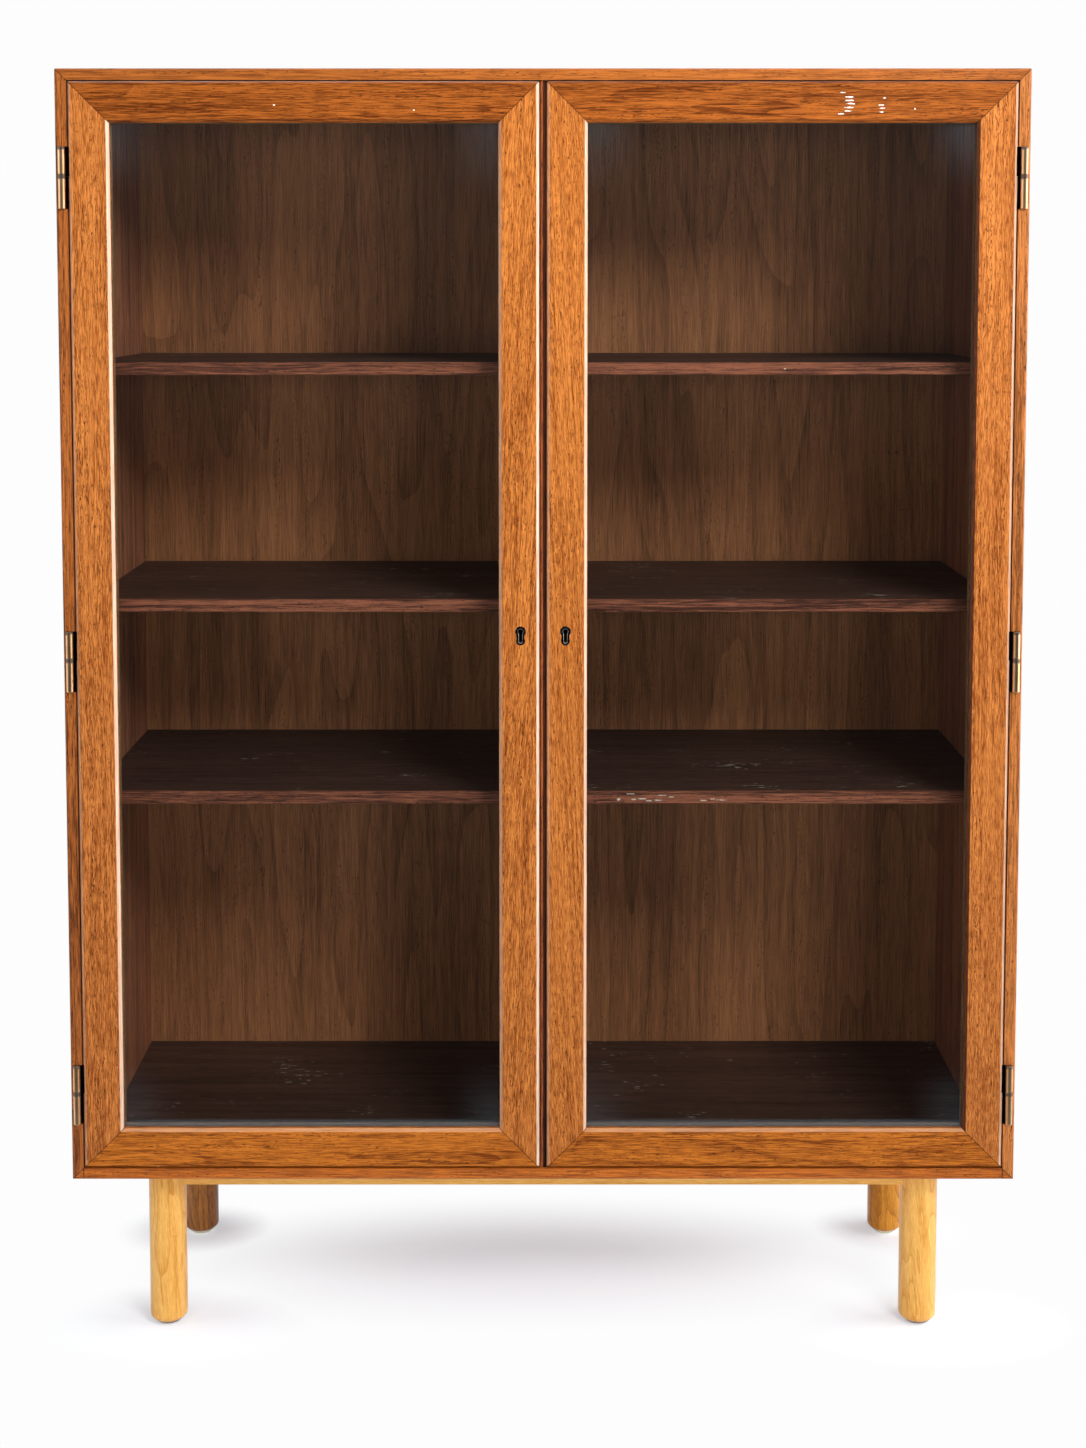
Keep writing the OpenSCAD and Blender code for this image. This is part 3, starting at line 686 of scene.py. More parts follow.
@dataclass(frozen=True)
class Brass(Finish):
    """Turned and polished brass that has gone grey in places.

    The metal mirrors the lamps as upright bands. On a hinge, grey tarnish sits at the ends of the
    upper knuckle, and the leaves beside the barrel are painted black as the shade in their recess.
    Stains show where a fine noise passes stain_edge or, towards an end, end_edge.
    """

    bright: str = "#ffdcb4"
    deep: str = "#d99a58"
    tarnish: str = "#6f675f"
    roughness: float = 0.36
    hinge_axis: tuple[float, float] | None = None
    barrel_r: float = 4.4 * MM
    end_reach: float = 6 * MM
    recess_shade_gap: float = 0.15 * MM
    stain_edge: tuple[float, float] = (0.7, 0.84)
    end_edge: tuple[float, float] = (0.16, 0.34)
    stain_cover: float = 0.85
    stain_dulling: float = 0.25

    def cloud(self, tree: NodeTree, scale: float) -> Node:
        """Noise on Object coordinates, drawn out threefold along Z.

        Args:
            tree: Tree of the material.
            scale: Waves of the noise per metre across the barrel.

        Returns:
            Node with values about 0.5.
        """
        place = add_node(tree, "TexCoord").outputs["Object"]
        stretched = add_node(tree, "Mapping", (place, None, None, (scale, scale, scale / 3)))
        return add_node(tree, "TexNoise", {"Vector": stretched, "Scale": 1.0, "Detail": 4.0})

    def off_axis(self, tree: NodeTree) -> NodeSocket:
        """Distance from a point to the hinge axis on its side.

        It is the length of (|x| - axis x, y - axis y).

        Args:
            tree: Tree of the material.

        Returns:
            Socket with the distance in metres.
        """
        axes, (axis_x, axis_y) = object_axes(tree), self.hinge_axis
        width = add_node(tree, "Math", (axes["X"],), operation="ABSOLUTE")
        width = add_node(tree, "Math", (width, axis_x), operation="SUBTRACT")
        depth = add_node(tree, "Math", (axes["Y"], axis_y), operation="SUBTRACT")
        flat = add_node(tree, "CombineXYZ", (width, depth))
        return add_node(tree, "VectorMath", (flat,), operation="LENGTH").outputs["Value"]

    def near_ends(self, tree: NodeTree) -> Node:
        """Closeness to an end of an upper knuckle.

        Args:
            tree: Tree of the material.

        Returns:
            Node with 1 at an end and 0 at end_reach from it.
        """
        height, nearest = object_axes(tree)["Z"], FAR
        for end in [joint + reach for joint in HINGE_JOINTS_Z for reach in (0.0, UPPER_KNUCKLE)]:
            off = add_node(tree, "Math", (height, end), operation="SUBTRACT")
            away = add_node(tree, "Math", (off,), operation="ABSOLUTE")
            nearest = add_node(tree, "Math", (nearest, away), operation="MINIMUM")
        return add_node(tree, "MapRange", (nearest, 0.0, self.end_reach, 1.0, 0.0))

    def surface(self, tree: NodeTree) -> Node:
        """Builds the shader: a clouded metal with stains, greyed and rougher where it has tarnished.

        Args:
            tree: Tree of the material.

        Returns:
            The shader's node.
        """
        smooth = {"interpolation_type": "SMOOTHSTEP"}
        fine = self.cloud(tree, scale=300.0)
        stain = add_node(tree, "MapRange", (fine, *self.stain_edge), **smooth)
        if self.hinge_axis:
            wear_and_highlight = add_node(tree, "Math", (self.near_ends(tree), fine), operation="MULTIPLY")
            spread = add_node(tree, "MapRange", (wear_and_highlight, *self.end_edge), **smooth)
            stain = add_node(tree, "Math", (stain, spread), operation="MAXIMUM")
        dulled = add_node(tree, "Math", (stain, self.stain_cover), operation="MULTIPLY")
        layers = [(self.cloud(tree, scale=110.0), self.deep), (dulled, self.tarnish)]
        # Painted shade: the hinge leaves beside the barrel are coloured black as the shade of their recess
        if self.hinge_axis:
            beside = (self.off_axis(tree), self.barrel_r + self.recess_shade_gap)
            layers.append((add_node(tree, "Math", beside, operation="GREATER_THAN"), RECESS_SHADE))
        colour = layered(tree, self.bright, layers)
        gloss = (stain, None, None, self.roughness, self.roughness + self.stain_dulling)
        look = {"Base Color": colour, "Metallic": 1.0, "Roughness": add_node(tree, "MapRange", gloss)}
        return add_node(tree, "BsdfPrincipled", look)


@dataclass(frozen=True)
class Steel(Finish):
    """Steel, blued in a salt bath or left bright, with faint handling marks in its gloss.

    Handling shows where a noise passes worn_edge, and gloss is what the noise adds to the roughness.
    Where a mesh carries an attribute named rim, its value brings out bare metal rubbed by the key,
    and the noise counts for cloud_share beside it.
    """

    colour: str
    wear_and_highlight: str
    roughness: float = 0.35
    gloss: tuple[float, float] = (-0.1, 0.15)
    worn_edge: tuple[float, float] = (0.5, 0.8)
    rim: bool = False
    cloud_share: float = 0.35

    def surface(self, tree: NodeTree) -> Node:
        """Builds the shader: worn patches where a noise is high, and a gloss that follows it.

        Args:
            tree: Tree of the material.

        Returns:
            The shader's node.
        """
        place = add_node(tree, "TexCoord").outputs["Object"]
        cloud = add_node(tree, "TexNoise", {"Vector": place, "Scale": 380.0, "Detail": 5.0})
        rubbed_and_highlit = add_node(tree, "MapRange", (cloud, *self.worn_edge))
        if self.rim:
            ring = add_node(tree, "Attribute", attribute_name="rim").outputs["Fac"]
            rubbed_and_highlit = add_node(tree, "Math", (rubbed_and_highlit, self.cloud_share, ring), operation="MULTIPLY_ADD")
        colour = layered(tree, self.colour, [(rubbed_and_highlit, self.wear_and_highlight)])
        gloss = (cloud, None, None, *(self.roughness + more for more in self.gloss))
        look = {"Base Color": colour, "Metallic": 1.0, "Roughness": add_node(tree, "MapRange", gloss)}
        return add_node(tree, "BsdfPrincipled", look)


@dataclass(frozen=True)
class Plain(Finish):
    """A matt finish with a little scuffing and dirt: moulded nylon, and steel painted near-black as shade."""

    clean: str
    scuffed: str

    def surface(self, tree: NodeTree) -> Node:
        """Builds the shader: two close colours that a noise mixes.

        Args:
            tree: Tree of the material.

        Returns:
            The shader's node.
        """
        place = add_node(tree, "TexCoord").outputs["Object"]
        cloud = add_node(tree, "TexNoise", {"Vector": place, "Scale": 160.0, "Detail": 4.0})
        colour = layered(tree, self.clean, [(cloud, self.scuffed)])
        return add_node(tree, "BsdfPrincipled", {"Base Color": colour, "Roughness": 0.5})


@dataclass(frozen=True)
class WindowGlass(Finish):
    """Old drawn sheet glass, wiped clean in the middle with a film of dust in its corners.

    Light passes straight through. The front face mirrors by Fresnel at IOR 1.52, and the film adds a
    pale blue grey veil that is thickest in the corners of the opening.
    """

    pane: Frame2D
    film: str = "#8f9aa3"
    film_cover: float = 0.035
    film_reach: tuple[float, float] = (0.08, 0.10)
    sill: tuple[float, float] = (0.007, 0.017)
    sill_cover: float = 0.2

    def veil(self, tree: NodeTree) -> Node:
        """Share of the dust film.

        In a corner it is the product of the closeness to a side and to an end. Along the bottom edge,
        where the pane meets the frame, a narrow band of dust has settled.

        Args:
            tree: Tree of the material.

        Returns:
            Node with 0 in the middle and film_cover in a corner.
        """
        near = [
            add_node(tree, "MapRange", (gap, fade, 0.0), interpolation_type="SMOOTHSTEP")
            for gap, fade in zip(self.pane.gaps(tree), self.film_reach)
        ]
        corner = add_node(tree, "Math", near, operation="MULTIPLY")
        place = add_node(tree, "TexCoord").outputs["Object"]
        smear = add_node(tree, "TexNoise", {"Vector": place, "Scale": 14.0, "Detail": 5.0})
        broken = add_node(tree, "Math", (corner, smear), operation="MULTIPLY")
        film = add_node(tree, "Math", (broken, 2 * self.film_cover), operation="MULTIPLY")
        low, high = (self.pane.centre_z - self.pane.half_h + reach for reach in self.sill)
        settled = add_node(tree, "MapRange", (object_axes(tree)["Z"], low, high, self.sill_cover, 0.0))
        return add_node(tree, "Math", (film, settled), operation="MAXIMUM")

    def surface(self, tree: NodeTree) -> Node:
        """Builds the shader: clear glass under the dust film, and a mirror on the front face.

        Args:
            tree: Tree of the material.

        Returns:
            The shader's node.
        """
        clear = add_node(tree, "BsdfTransparent", {"Color": linear("#f3f7f6")})
        mirror = add_node(tree, "BsdfGlossy", {"Color": linear("#ffffff"), "Roughness": 0.02})
        film = add_node(tree, "BsdfDiffuse", {"Color": linear(self.film)})
        fresnel = add_node(tree, "Fresnel", {"IOR": 1.52})
        back = add_node(tree, "NewGeometry").outputs["Backfacing"]
        front = add_node(tree, "Math", (1.0, back), operation="SUBTRACT")
        shine = add_node(tree, "Math", (fresnel, front), operation="MULTIPLY")
        dusty = add_node(tree, "MixShader", (self.veil(tree), clear, film))
        return add_node(tree, "MixShader", (shine, dusty, mirror))


def seen_ray(tree: NodeTree) -> Node:
    """Finds rays that see the backdrop: straight, mirrored or through glass.

    Args:
        tree: Tree that gets the nodes.

    Returns:
        Node with 1 for such a ray and 0 for light that falls on the object.
    """
    path = add_node(tree, "LightPath").outputs
    seen = add_node(tree, "Math", (path["Is Camera Ray"], path["Is Glossy Ray"]), operation="MAXIMUM")
    return add_node(tree, "Math", (seen, path["Is Transmission Ray"]), operation="MAXIMUM")


@dataclass(frozen=True)
class PaperSweep(Finish):
    """Seamless paper of the floor, white where lit and soft grey in the bookcase's shadow.

    The shadow shows in pools: a broad one under the case and a small one about each leg. Outside them
    the floor sweeps up into the white of the backdrop. Mirrored rays see it darken in front of the
    bookcase, towards the dark part of the room.
    """

    backdrop: float
    dark_room: float
    glow: float
    pools: tuple[Spot, ...]
    pool_fade: tuple[float, float] = (0.15, 1.0)
    dark_y: tuple[float, float] = (-0.25, -0.8)

    def surface(self, tree: NodeTree) -> Node:
        """Builds the shader: matt paper for the light, and its glow, sweep and dark part where seen.

        Args:
            tree: Tree of the material.

        Returns:
            The shader's node.
        """
        matt = add_node(tree, "BsdfDiffuse", {"Color": linear("#e9edf2")})
        lights = (("#eef5ff", self.glow), ("#ffffff", self.backdrop), ("#ffffff", self.dark_room))
        glow, sweep, dark = (
            add_node(tree, "Emission", {"Color": linear(code), "Strength": strength})
            for code, strength in lights
        )
        lit = add_node(tree, "AddShader", (matt, glow))
        reach = Spot.nearest(tree, self.pools, 1)
        faded = add_node(tree, "MapRange", (reach, *self.pool_fade), interpolation_type="SMOOTHSTEP")
        both = add_node(tree, "MixShader", (faded, lit, sweep))
        depth = object_axes(tree)["Y"]
        ahead = add_node(tree, "MapRange", (depth, *self.dark_y), interpolation_type="SMOOTHSTEP")
        mirrored = add_node(tree, "LightPath").outputs["Is Glossy Ray"]
        hidden = add_node(tree, "Math", (ahead, mirrored), operation="MULTIPLY")
        both = add_node(tree, "MixShader", (hidden, both, dark))
        return add_node(tree, "MixShader", (seen_ray(tree), matt, both))


@dataclass
class Shot:
    """The photograph's camera, fitted to the corners, shelves and legs.

    Pixels are those of the full picture. The shift puts the optical axis at centre_px.
    """

    distance: float = 2.5
    height: float = 1.348
    pitch: float = 0.0710
    focal_px: float = 2019.0
    centre_px: tuple[float, float] = (543.0, 430.0)
    size_px: tuple[int, int] = (1086, 1448)
    sensor_mm: float = 36.0

    def build(self) -> None:
        """Makes the camera and gives it to the scene."""
        wide, high = self.size_px
        data = bpy.data.cameras.new("camera")
        data.sensor_width = self.sensor_mm
        data.lens = self.focal_px / high * self.sensor_mm
        data.shift_x = (self.centre_px[0] - wide / 2) / high
        data.shift_y = (self.centre_px[1] - high / 2) / high
        made = bpy.data.objects.new("camera", data)
        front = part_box("top_edging")[0].y
        made.location = (0.0, front - self.distance, self.height)
        made.rotation_euler = (math.pi / 2 - self.pitch, 0.0, 0.0)
        bpy.context.scene.collection.objects.link(made)
        bpy.context.scene.camera = made


@dataclass
class Softbox:
    """A flat studio lamp that points at a place on the bookcase; spread is the angle of its grid."""

    name: str
    place: tuple[float, float, float]
    size: tuple[float, float]
    watts: float
    mirrored: bool = True
    aim: tuple[float, float, float] = (0.0, 0.0, 0.8)
    spread: float = math.pi

    def build(self) -> None:
        """Makes the lamp."""
        data = bpy.data.lights.new(self.name, "AREA")
        data.shape = "RECTANGLE"
        data.size, data.size_y = self.size
        data.energy = self.watts
        data.spread = self.spread
        made = bpy.data.objects.new(self.name, data)
        made.visible_glossy = self.mirrored
        away = np.subtract(self.aim, self.place)
        made.location = self.place
        flat = math.hypot(away[0], away[1])
        made.rotation_euler = (math.atan2(flat, -away[2]), 0.0, math.atan2(-away[0], away[1]))
        bpy.context.scene.collection.objects.link(made)


@dataclass
class Studio:
    """White seamless floor, plain world light and softboxes in a room that is dark behind the camera."""

    floor_half: float = 12.0
    world_light: float = 0.25
    backdrop: float = 0.983
    dark_room: float = 0.05
    bright_ceiling: float = 0.2
    wall_z: tuple[float, float] = (-0.10, 0.08)
    wall_y: tuple[float, float] = (-0.9, -0.55)
    floor_glow: float = 0.4
    pools: tuple[Spot, ...] = (
        Spot(0.0, -0.01, 0.62, 0.23),
        Spot(-0.47, -0.17, 0.21, 0.12),
        Spot(0.50, -0.17, 0.21, 0.12),
        Spot(-0.49, 0.09, 0.13, 0.09),
        Spot(0.49, 0.09, 0.13, 0.09),
    )
    lamps: tuple[Softbox, ...] = (
        Softbox("high_key", (1.5, -2.6, 2.9), (1.2, 1.2), 21.0, False, aim=(0.0, -0.2, 1.7), spread=1.3),
        Softbox("front_key", (1.5, -3.9, 1.2), (1.0, 1.0), 34.0, False),
        Softbox("front_fill", (-1.6, -3.9, 1.2), (1.0, 1.0), 25.0, False),
        Softbox("right_wall", (2.4, -0.35, 1.2), (1.8, 2.2), 42.0, aim=(0.0, -0.35, 1.2)),
        Softbox("left_strip", (-2.6, -0.9, 1.2), (0.5, 2.4), 8.0),
        Softbox("top_softbox", (0.0, -0.2, 3.4), (2.4, 1.6), 26.0),
    )

    def world(self) -> None:
        """Makes a world that is white in the picture and a plain grey light on the object.

        Mirrored rays see the white room too, but behind the camera it fades to a dark wall that keeps
        the front glass clear, and that grows a little lighter upwards. It fades over wall_y and
        lightens over wall_z, which are parts of a ray's direction.
        """
        world = bpy.data.worlds.new("studio")
        world.use_nodes = True
        bpy.context.scene.world = world
        tree = world.node_tree
        tree.nodes.clear()
        light = (seen_ray(tree), None, None, self.world_light, self.backdrop)
        strength = add_node(tree, "MapRange", light)
        toward = add_node(tree, "SeparateXYZ", (add_node(tree, "TexCoord").outputs["Generated"],)).outputs
        wall = add_node(tree, "MapRange", (toward["Z"], *self.wall_z, self.dark_room, self.bright_ceiling))
        behind = (toward["Y"], *self.wall_y, wall, 1.0)
        room = add_node(tree, "MapRange", behind, interpolation_type="SMOOTHSTEP")
        glossy = add_node(tree, "LightPath").outputs["Is Glossy Ray"]
        mirrored = add_node(tree, "Mix", {0: glossy, 2: 1.0, 3: room}, data_type="FLOAT")
        level = add_node(tree, "Math", (strength, mirrored), operation="MULTIPLY")
        glow = add_node(tree, "Background", {"Color": linear("#ffffff"), "Strength": level})
        add_node(tree, "OutputWorld", (glow,))

    def build(self) -> None:
        """Makes the world, the floor and the lamps."""
        bpy.context.scene.view_settings.view_transform = "Standard"
        self.world()
        axis = np.linspace(-self.floor_half, self.floor_half, 3)
        x, y = np.meshgrid(axis, axis, indexing="ij")
        floor = grid_mesh("studio_floor", np.stack([x, y, np.zeros_like(x)], axis=-1), False, False)
        paper = PaperSweep("paper_seamless_white", self.backdrop, self.dark_room, self.floor_glow, self.pools)
        dress(floor, paper.material())
        for lamp in self.lamps:
            lamp.build()


@dataclass
class Case:
    """The carcass: veneered panels, solid edging, partition and back."""

    edging_w: float = 14.5 * MM
    lining_depth: float = 10 * MM
    door_shadow_shift: float = 0.3 * MM
    door_shadow_half_w: float = 3.2 * MM
    upright: Figure = Figure(band=4.0, band_share=1.6, fibre_length=26.0, fibre_share=2.8)
    level: Figure = Figure(fibre_length=34.0, fibre=1.3, fibre_share=2.8)
    veneer: Figure = Figure(band=13.0, band_share=1.7, broad=70.0, fibre_length=26.0, ring=70.0)
    back: Figure = Figure(
        band=8.0, band_share=0.9, broad=110.0, fibre=1.1, fibre_length=45.0, fibre_share=1.6, ring=90.0,
        ring_length=900.0, ring_count=8.0, ring_share=0.28, pore_cover=0.1, wander=6.0,
    )

    def build(self) -> None:
        """Dresses the panels, the edging, the partition and the back."""
        edge = Frame2D.around(["top_edging", "bottom_edging", "left_edging", "right_edging"])
        # Solid teak, planed, mitred and oiled. The bottom and right pieces came out paler than the others
        top = Wood(
            "teak_edging_top_oiled", "#b26528", "#773c11", "#3a1706", Grain.ALONG_X, 1.0, self.level,
            coat=0.15, mitre=edge,
        )
        top.dress("top_edging")
        replace(
            top, name="teak_edging_bottom_oiled", light="#ca6e22", dark="#86420f", butt_inset=self.edging_w
        ).dress("bottom_edging")
        post = replace(
            top, name="teak_edging_left_oiled", light="#b4662b", dark="#57280c", grain=Grain.ALONG_Z,
            seed=2.0, figure=self.upright,
        )
        post.dress("left_edging")
        post = replace(post, name="teak_edging_right_oiled", light="#cc7c3c", dark="#7a4218", seed=2.6)
        post.dress("right_edging")
        # Teak veneer on board, oiled outside and stained darker on the faces that look into the case
        side = Wood(
            "teak_veneer_sides_oiled", "#bd6e30", "#8a4918", "#4a210c", Grain.ALONG_Z, 3.0, self.veneer,
            lining_and_shade=LiningAndShade(edge, self.lining_depth, "#cc7f5c", "#744534"),
        )
        side.dress("left_side", "right_side")
        like_shelves = LiningAndShade(edge, self.lining_depth, "#5c3e35", "#392521")
        panel = replace(
            side, name="teak_veneer_top_oiled", grain=Grain.ALONG_X, seed=4.0, lining_and_shade=like_shelves
        )
        panel.dress("top_panel")
        replace(panel, name="teak_veneer_bottom_dusty", seed=4.6, dust=1.0).dress("bottom_panel")
        Wood(
            "teak_veneer_partition_stained", "#94593e", "#5f3524", "#2c150c", Grain.ALONG_Z, 5.0, self.veneer
        ).dress("centre_partition")
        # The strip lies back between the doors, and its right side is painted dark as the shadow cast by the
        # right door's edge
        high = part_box("centre_edging")[1]
        door_shadow = replace(edge, centre_x=high.x - self.door_shadow_shift, half_w=self.door_shadow_half_w)
        Wood(
            "teak_strip_centre_oiled", "#a4562a", "#642f15", "#2c130a", Grain.ALONG_Z, 6.0, self.upright,
            lining_and_shade=LiningAndShade(door_shadow, 0.0, "#46200d", "#1c0b05"),
        ).dress("centre_edging")
        Wood(
            "teak_veneer_back_stained", "#bd7950", "#6d422a", "#3a2010", Grain.ALONG_Z, 7.0, self.back,
            roughness=0.55,
        ).dress("back_panel")


@dataclass
class Shelves:
    """Six loose boards with solid front edging, on brass pins.

    The scratches on the edging are rows of x, z and half sizes, in metres.
    """

    board: Figure = Figure(broad=60.0, fibre_length=30.0)
    edging: Figure = Figure(band=2.4, band_share=2.6, wander=5.0, fibre_length=34.0, fibre_share=3.0)
    scratches: tuple[tuple[float, float, float, float], ...] = (
        (0.0975, 0.6900, 0.0020, 0.0013), (0.1130, 0.6972, 0.0050, 0.0005), (0.1175, 0.6900, 0.0035, 0.0008),
        (0.1285, 0.6908, 0.0060, 0.0007), (0.1370, 0.6882, 0.0045, 0.0006), (0.1480, 0.6890, 0.0065, 0.0006),
        (0.1520, 0.6955, 0.0060, 0.0005), (0.1650, 0.6932, 0.0040, 0.0005), (0.2070, 0.6888, 0.0060, 0.0007),
        (0.2180, 0.6905, 0.0040, 0.0006), (0.2300, 0.6893, 0.0075, 0.0006), (0.3064, 1.2440, 0.0014, 0.0010),
    )

    def build(self) -> None:
        """Dresses the boards, their edging and their pins."""
        # Veneered boards and solid edging, both stained dark before oiling; the boards have gathered dust
        Wood(
            "teak_veneer_shelves_dark", "#583a32", "#34211e", "#1c110e", Grain.ALONG_X, 8.0, self.board,
            roughness=0.5, dust=1.0,
        ).dress(*(f"{side}_{row}_shelf" for side in ("left", "right") for row in ("top", "middle", "low")))
        Wood(
            "teak_edging_shelves_dark", "#a05c44", "#47251c", "#28130d", Grain.ALONG_X, 9.0, self.edging,
            chips_and_shade=tuple(Spot(*row) for row in self.scratches), chip_and_shade_colour="#d9cfc6",
        ).dress("shelf_edgings")
        Brass("brass_shelf_pins").dress("shelf_pins")  # Turned from rod and left unlacquered


@dataclass
class Base:
    """Turned oak legs, rails, glides and feet."""

    turns: int = 128
    arc_steps: int = 14
    side_steps: int = 9
    foot_r: float = 14.5 * MM
    shoulder_r: float = 6.0 * MM
    sharp_angle: float = math.radians(40)
    round_oak: Figure = Figure(
        band=7.0, band_share=1.0, broad=24.0, fibre=1.5, fibre_length=12.0, fibre_share=1.3, ring=26.0,
        ring_length=150.0, ring_count=7.0, ring_share=0.55, pore=1.6, pore_length=4.0, pore_cover=-0.6,
        wander=9.0, lean=0.05,
    )
    straight_oak: Figure = Figure(band=6.0, broad=26.0, fibre_share=1.4, pore_cover=-0.4)

    def outline(self, leg_r: float, low: float, high: float) -> np.ndarray:
        """Half outline of a leg, from the middle of its foot to the middle of its top.

        The taper rises at 45 degrees from foot_r at the floor. An arc of shoulder_r, whose angle runs
        from -45 to 0 degrees, joins it to the straight side.

        Args:
            leg_r: Radius of the straight part.
            low: Height of the wood's lower end.
            high: Height of the top.

        Returns:
            Rows of radius and height.
        """
        centre_r = leg_r - self.shoulder_r
        centre_z = leg_r - self.foot_r + self.shoulder_r * (math.sqrt(2) - 1)
        angle = np.linspace(-math.pi / 4, 0, self.arc_steps)
        arc = np.stack([np.cos(angle), np.sin(angle)]) * self.shoulder_r + [[centre_r], [centre_z]]
        rise = np.linspace(centre_z, high, self.side_steps + 1)[1:]
        side = np.stack([np.full(self.side_steps, leg_r), rise])
        ends = np.array([[0.0, low], [self.foot_r + low, low]]).T
        return np.hstack([ends, arc, side, np.array([[0.0], [high]])]).T

    def turned_leg(self, node: str) -> Object:
        """Turns a leg in place of its solid: the outline carried round the leg's axis.

        Args:
            node: Node of the leg.

        Returns:
            The leg, closed at both ends.
        """
        low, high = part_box(node)
        middle = (low + high) / 2
        rows = self.outline((high.x - low.x) / 2, low.z, high.z)
        angle = np.linspace(0, 2 * math.pi, self.turns, endpoint=False)[:, None]
        radius, height = rows[None, :, 0], rows[None, :, 1] + 0 * angle
        ring = (middle.x + radius * np.cos(angle), middle.y + radius * np.sin(angle), height)
        made = grid_mesh(f"turned_{node}", np.stack(ring, axis=-1), wrap_u=True, wrap_v=False)
        close_poles(made)
        made.data.set_sharp_from_angle(angle=self.sharp_angle)
        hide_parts(node)
        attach(made, "case")
        return made

    def build(self) -> None:
        """Makes the legs and dresses the rails, glides, feet and screws."""
        # Oak turned on a lathe, sanded and lacquered clear. The back left leg is much darker than the others
        pale = Wood(
            "oak_turned_lacquered", "#fdc66c", "#d9943a", "#94601f", Grain.ALONG_Z, 10.0, self.round_oak,
            # Painted shade on the taper of each foot, near the floor
            roughness=0.36, coat=0.15, foot_shade_below=7.0 * MM,
        )
        dark = replace(
            pale, name="oak_turned_darkened", light="#b47430", dark="#552c0e", pore="#3a1e09", seed=11.0
        )
        looks = {
            "front_left_leg": pale,
            "front_right_leg": replace(pale, name="oak_turned_second", seed=14.3),
            "back_right_leg": replace(
                pale, name="oak_turned_third", light="#e8a034", dark="#b06c12", seed=17.1
            ),
            "back_left_leg": dark,
        }
        for node, look in looks.items():
            leg = self.turned_leg(node)
            dress(leg, look.material())
            LOG.info("%s turned", node)
        rail = replace(pale, name="oak_rails_level", grain=Grain.ALONG_X, seed=12.0, figure=self.straight_oak)
        rail.dress("front_rail", "back_rail")
        replace(rail, name="oak_rails_deep", grain=Grain.ALONG_Y, seed=13.0).dress("left_rail", "right_rail")
        # Nylon as it comes from the mould, and screws cut from wire and plated with zinc
        # The back feet are cream nylon, made pale as well as painted reflection of the white floor on their
        # undersides
        Plain("nylon_cream_and_floor_reflection", "#fbf3dc", "#d6cba8").dress("back_feet")
        Plain("nylon_moulded_brown", "#5a4330", "#35281d").dress("front_glides")
        Steel("steel_screws_zinc_plated", "#a9acb0", "#d0d2d4").dress("base_screws", "back_screws")


@dataclass
class KeyholeLiner:
    """Blued steel liner let into a meeting stile: a crowned rim carried round the keyhole.

    Both outlines are two circles joined by a straight waist, measured from the liner's middle.
    """

    node: str
    up: float = 5.3 * MM
    down: float = 6.4 * MM
    outside: tuple[float, float, float] = (6.75 * MM, 5.6 * MM, 4.9 * MM)
    inside: tuple[float, float, float] = (3.3 * MM, 2.5 * MM, 2.1 * MM)
    proud: float = 0.7 * MM
    steps: int = 160
    crown_steps: int = 21
    crown_power: int = 4
    bare: tuple[float, float] = (1.3, 0.2)
    sharp_angle: float = math.radians(50)

    def reach(self, turn: np.ndarray, sizes: tuple[float, float, float]) -> np.ndarray:
        """Distance from the middle to the outline in each direction.

        It is the greatest of the distances at which a ray leaves the upper circle, the lower circle
        and the waist. A ray leaves a circle of radius r at height c at b + sqrt(b^2 - c^2 + r^2),
        where b is c times the ray's rise.

        Args:
            turn: Angles from straight up.
            sizes: Radius above, radius below and half width of the waist.

        Returns:
            The distances.
        """
        across, rise = np.sin(turn), np.cos(turn)
        exits = []
        for height, radius in ((self.up, sizes[0]), (-self.down, sizes[1])):
            along = height * rise
            inside = along**2 - height**2 + radius**2
            exits.append(np.where((inside > 0) & (along > 0), along + np.sqrt(np.maximum(inside, 0)), 0.0))
        to_side = sizes[2] / np.maximum(np.abs(across), TINY)
        to_end = np.where(rise > 0, self.up, self.down) / np.maximum(np.abs(rise), TINY)
        exits.append(np.minimum(to_side, to_end))
        return np.max(exits, axis=0)

    def build(self, body: str, look: Material) -> None:
        """Makes the liner in place of its solid.

        Going from the hole (s = 0) to the outside (s = 1), the rim stands proud by
        1 - |2 s - 1| ** 4, which gives a flat crown with eased edges. Two more columns take both
        walls down to the back. The rim is bare at the hole: bare[0] - s / bare[1], held in 0 to 1.

        Args:
            body: Body that the liner rides on.
            look: Its material.
        """
        low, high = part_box(self.node)
        middle_x = (low.x + high.x) / 2
        middle_z = high.z - self.outside[0] - self.up
        turn = np.linspace(0, 2 * math.pi, self.steps, endpoint=False)[:, None]
        near, far = self.reach(turn, self.inside), self.reach(turn, self.outside)
        share = np.linspace(0, 1, self.crown_steps)[None, :]
        front = low.y + self.proud
        back = 0 * turn + high.y - front
        crown = -self.proud * (1 - np.abs(2 * share - 1) ** self.crown_power) + 0 * turn
        radius = np.hstack([near, near + share * (far - near), far])
        depth = np.hstack([back, crown, back])
        rim = (middle_x + radius * np.sin(turn), front + depth, middle_z + radius * np.cos(turn))
        made = grid_mesh(f"{self.node}_rim", np.stack(rim, axis=-1)[::-1], wrap_u=True, wrap_v=True)
        edge = np.hstack([[[0.0]], np.clip(self.bare[0] - share / self.bare[1], 0, 1), [[0.0]]])
        wear_and_highlight = made.data.attributes.new("rim", "FLOAT", "POINT")
        wear_and_highlight.data.foreach_set("value", np.repeat(edge, self.steps, axis=0).ravel().astype(np.float32))
        made.data.set_sharp_from_angle(angle=self.sharp_angle)
        dress(made, look)
        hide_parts(self.node)
        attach(made, body)
        LOG.info("%s made", made.name)


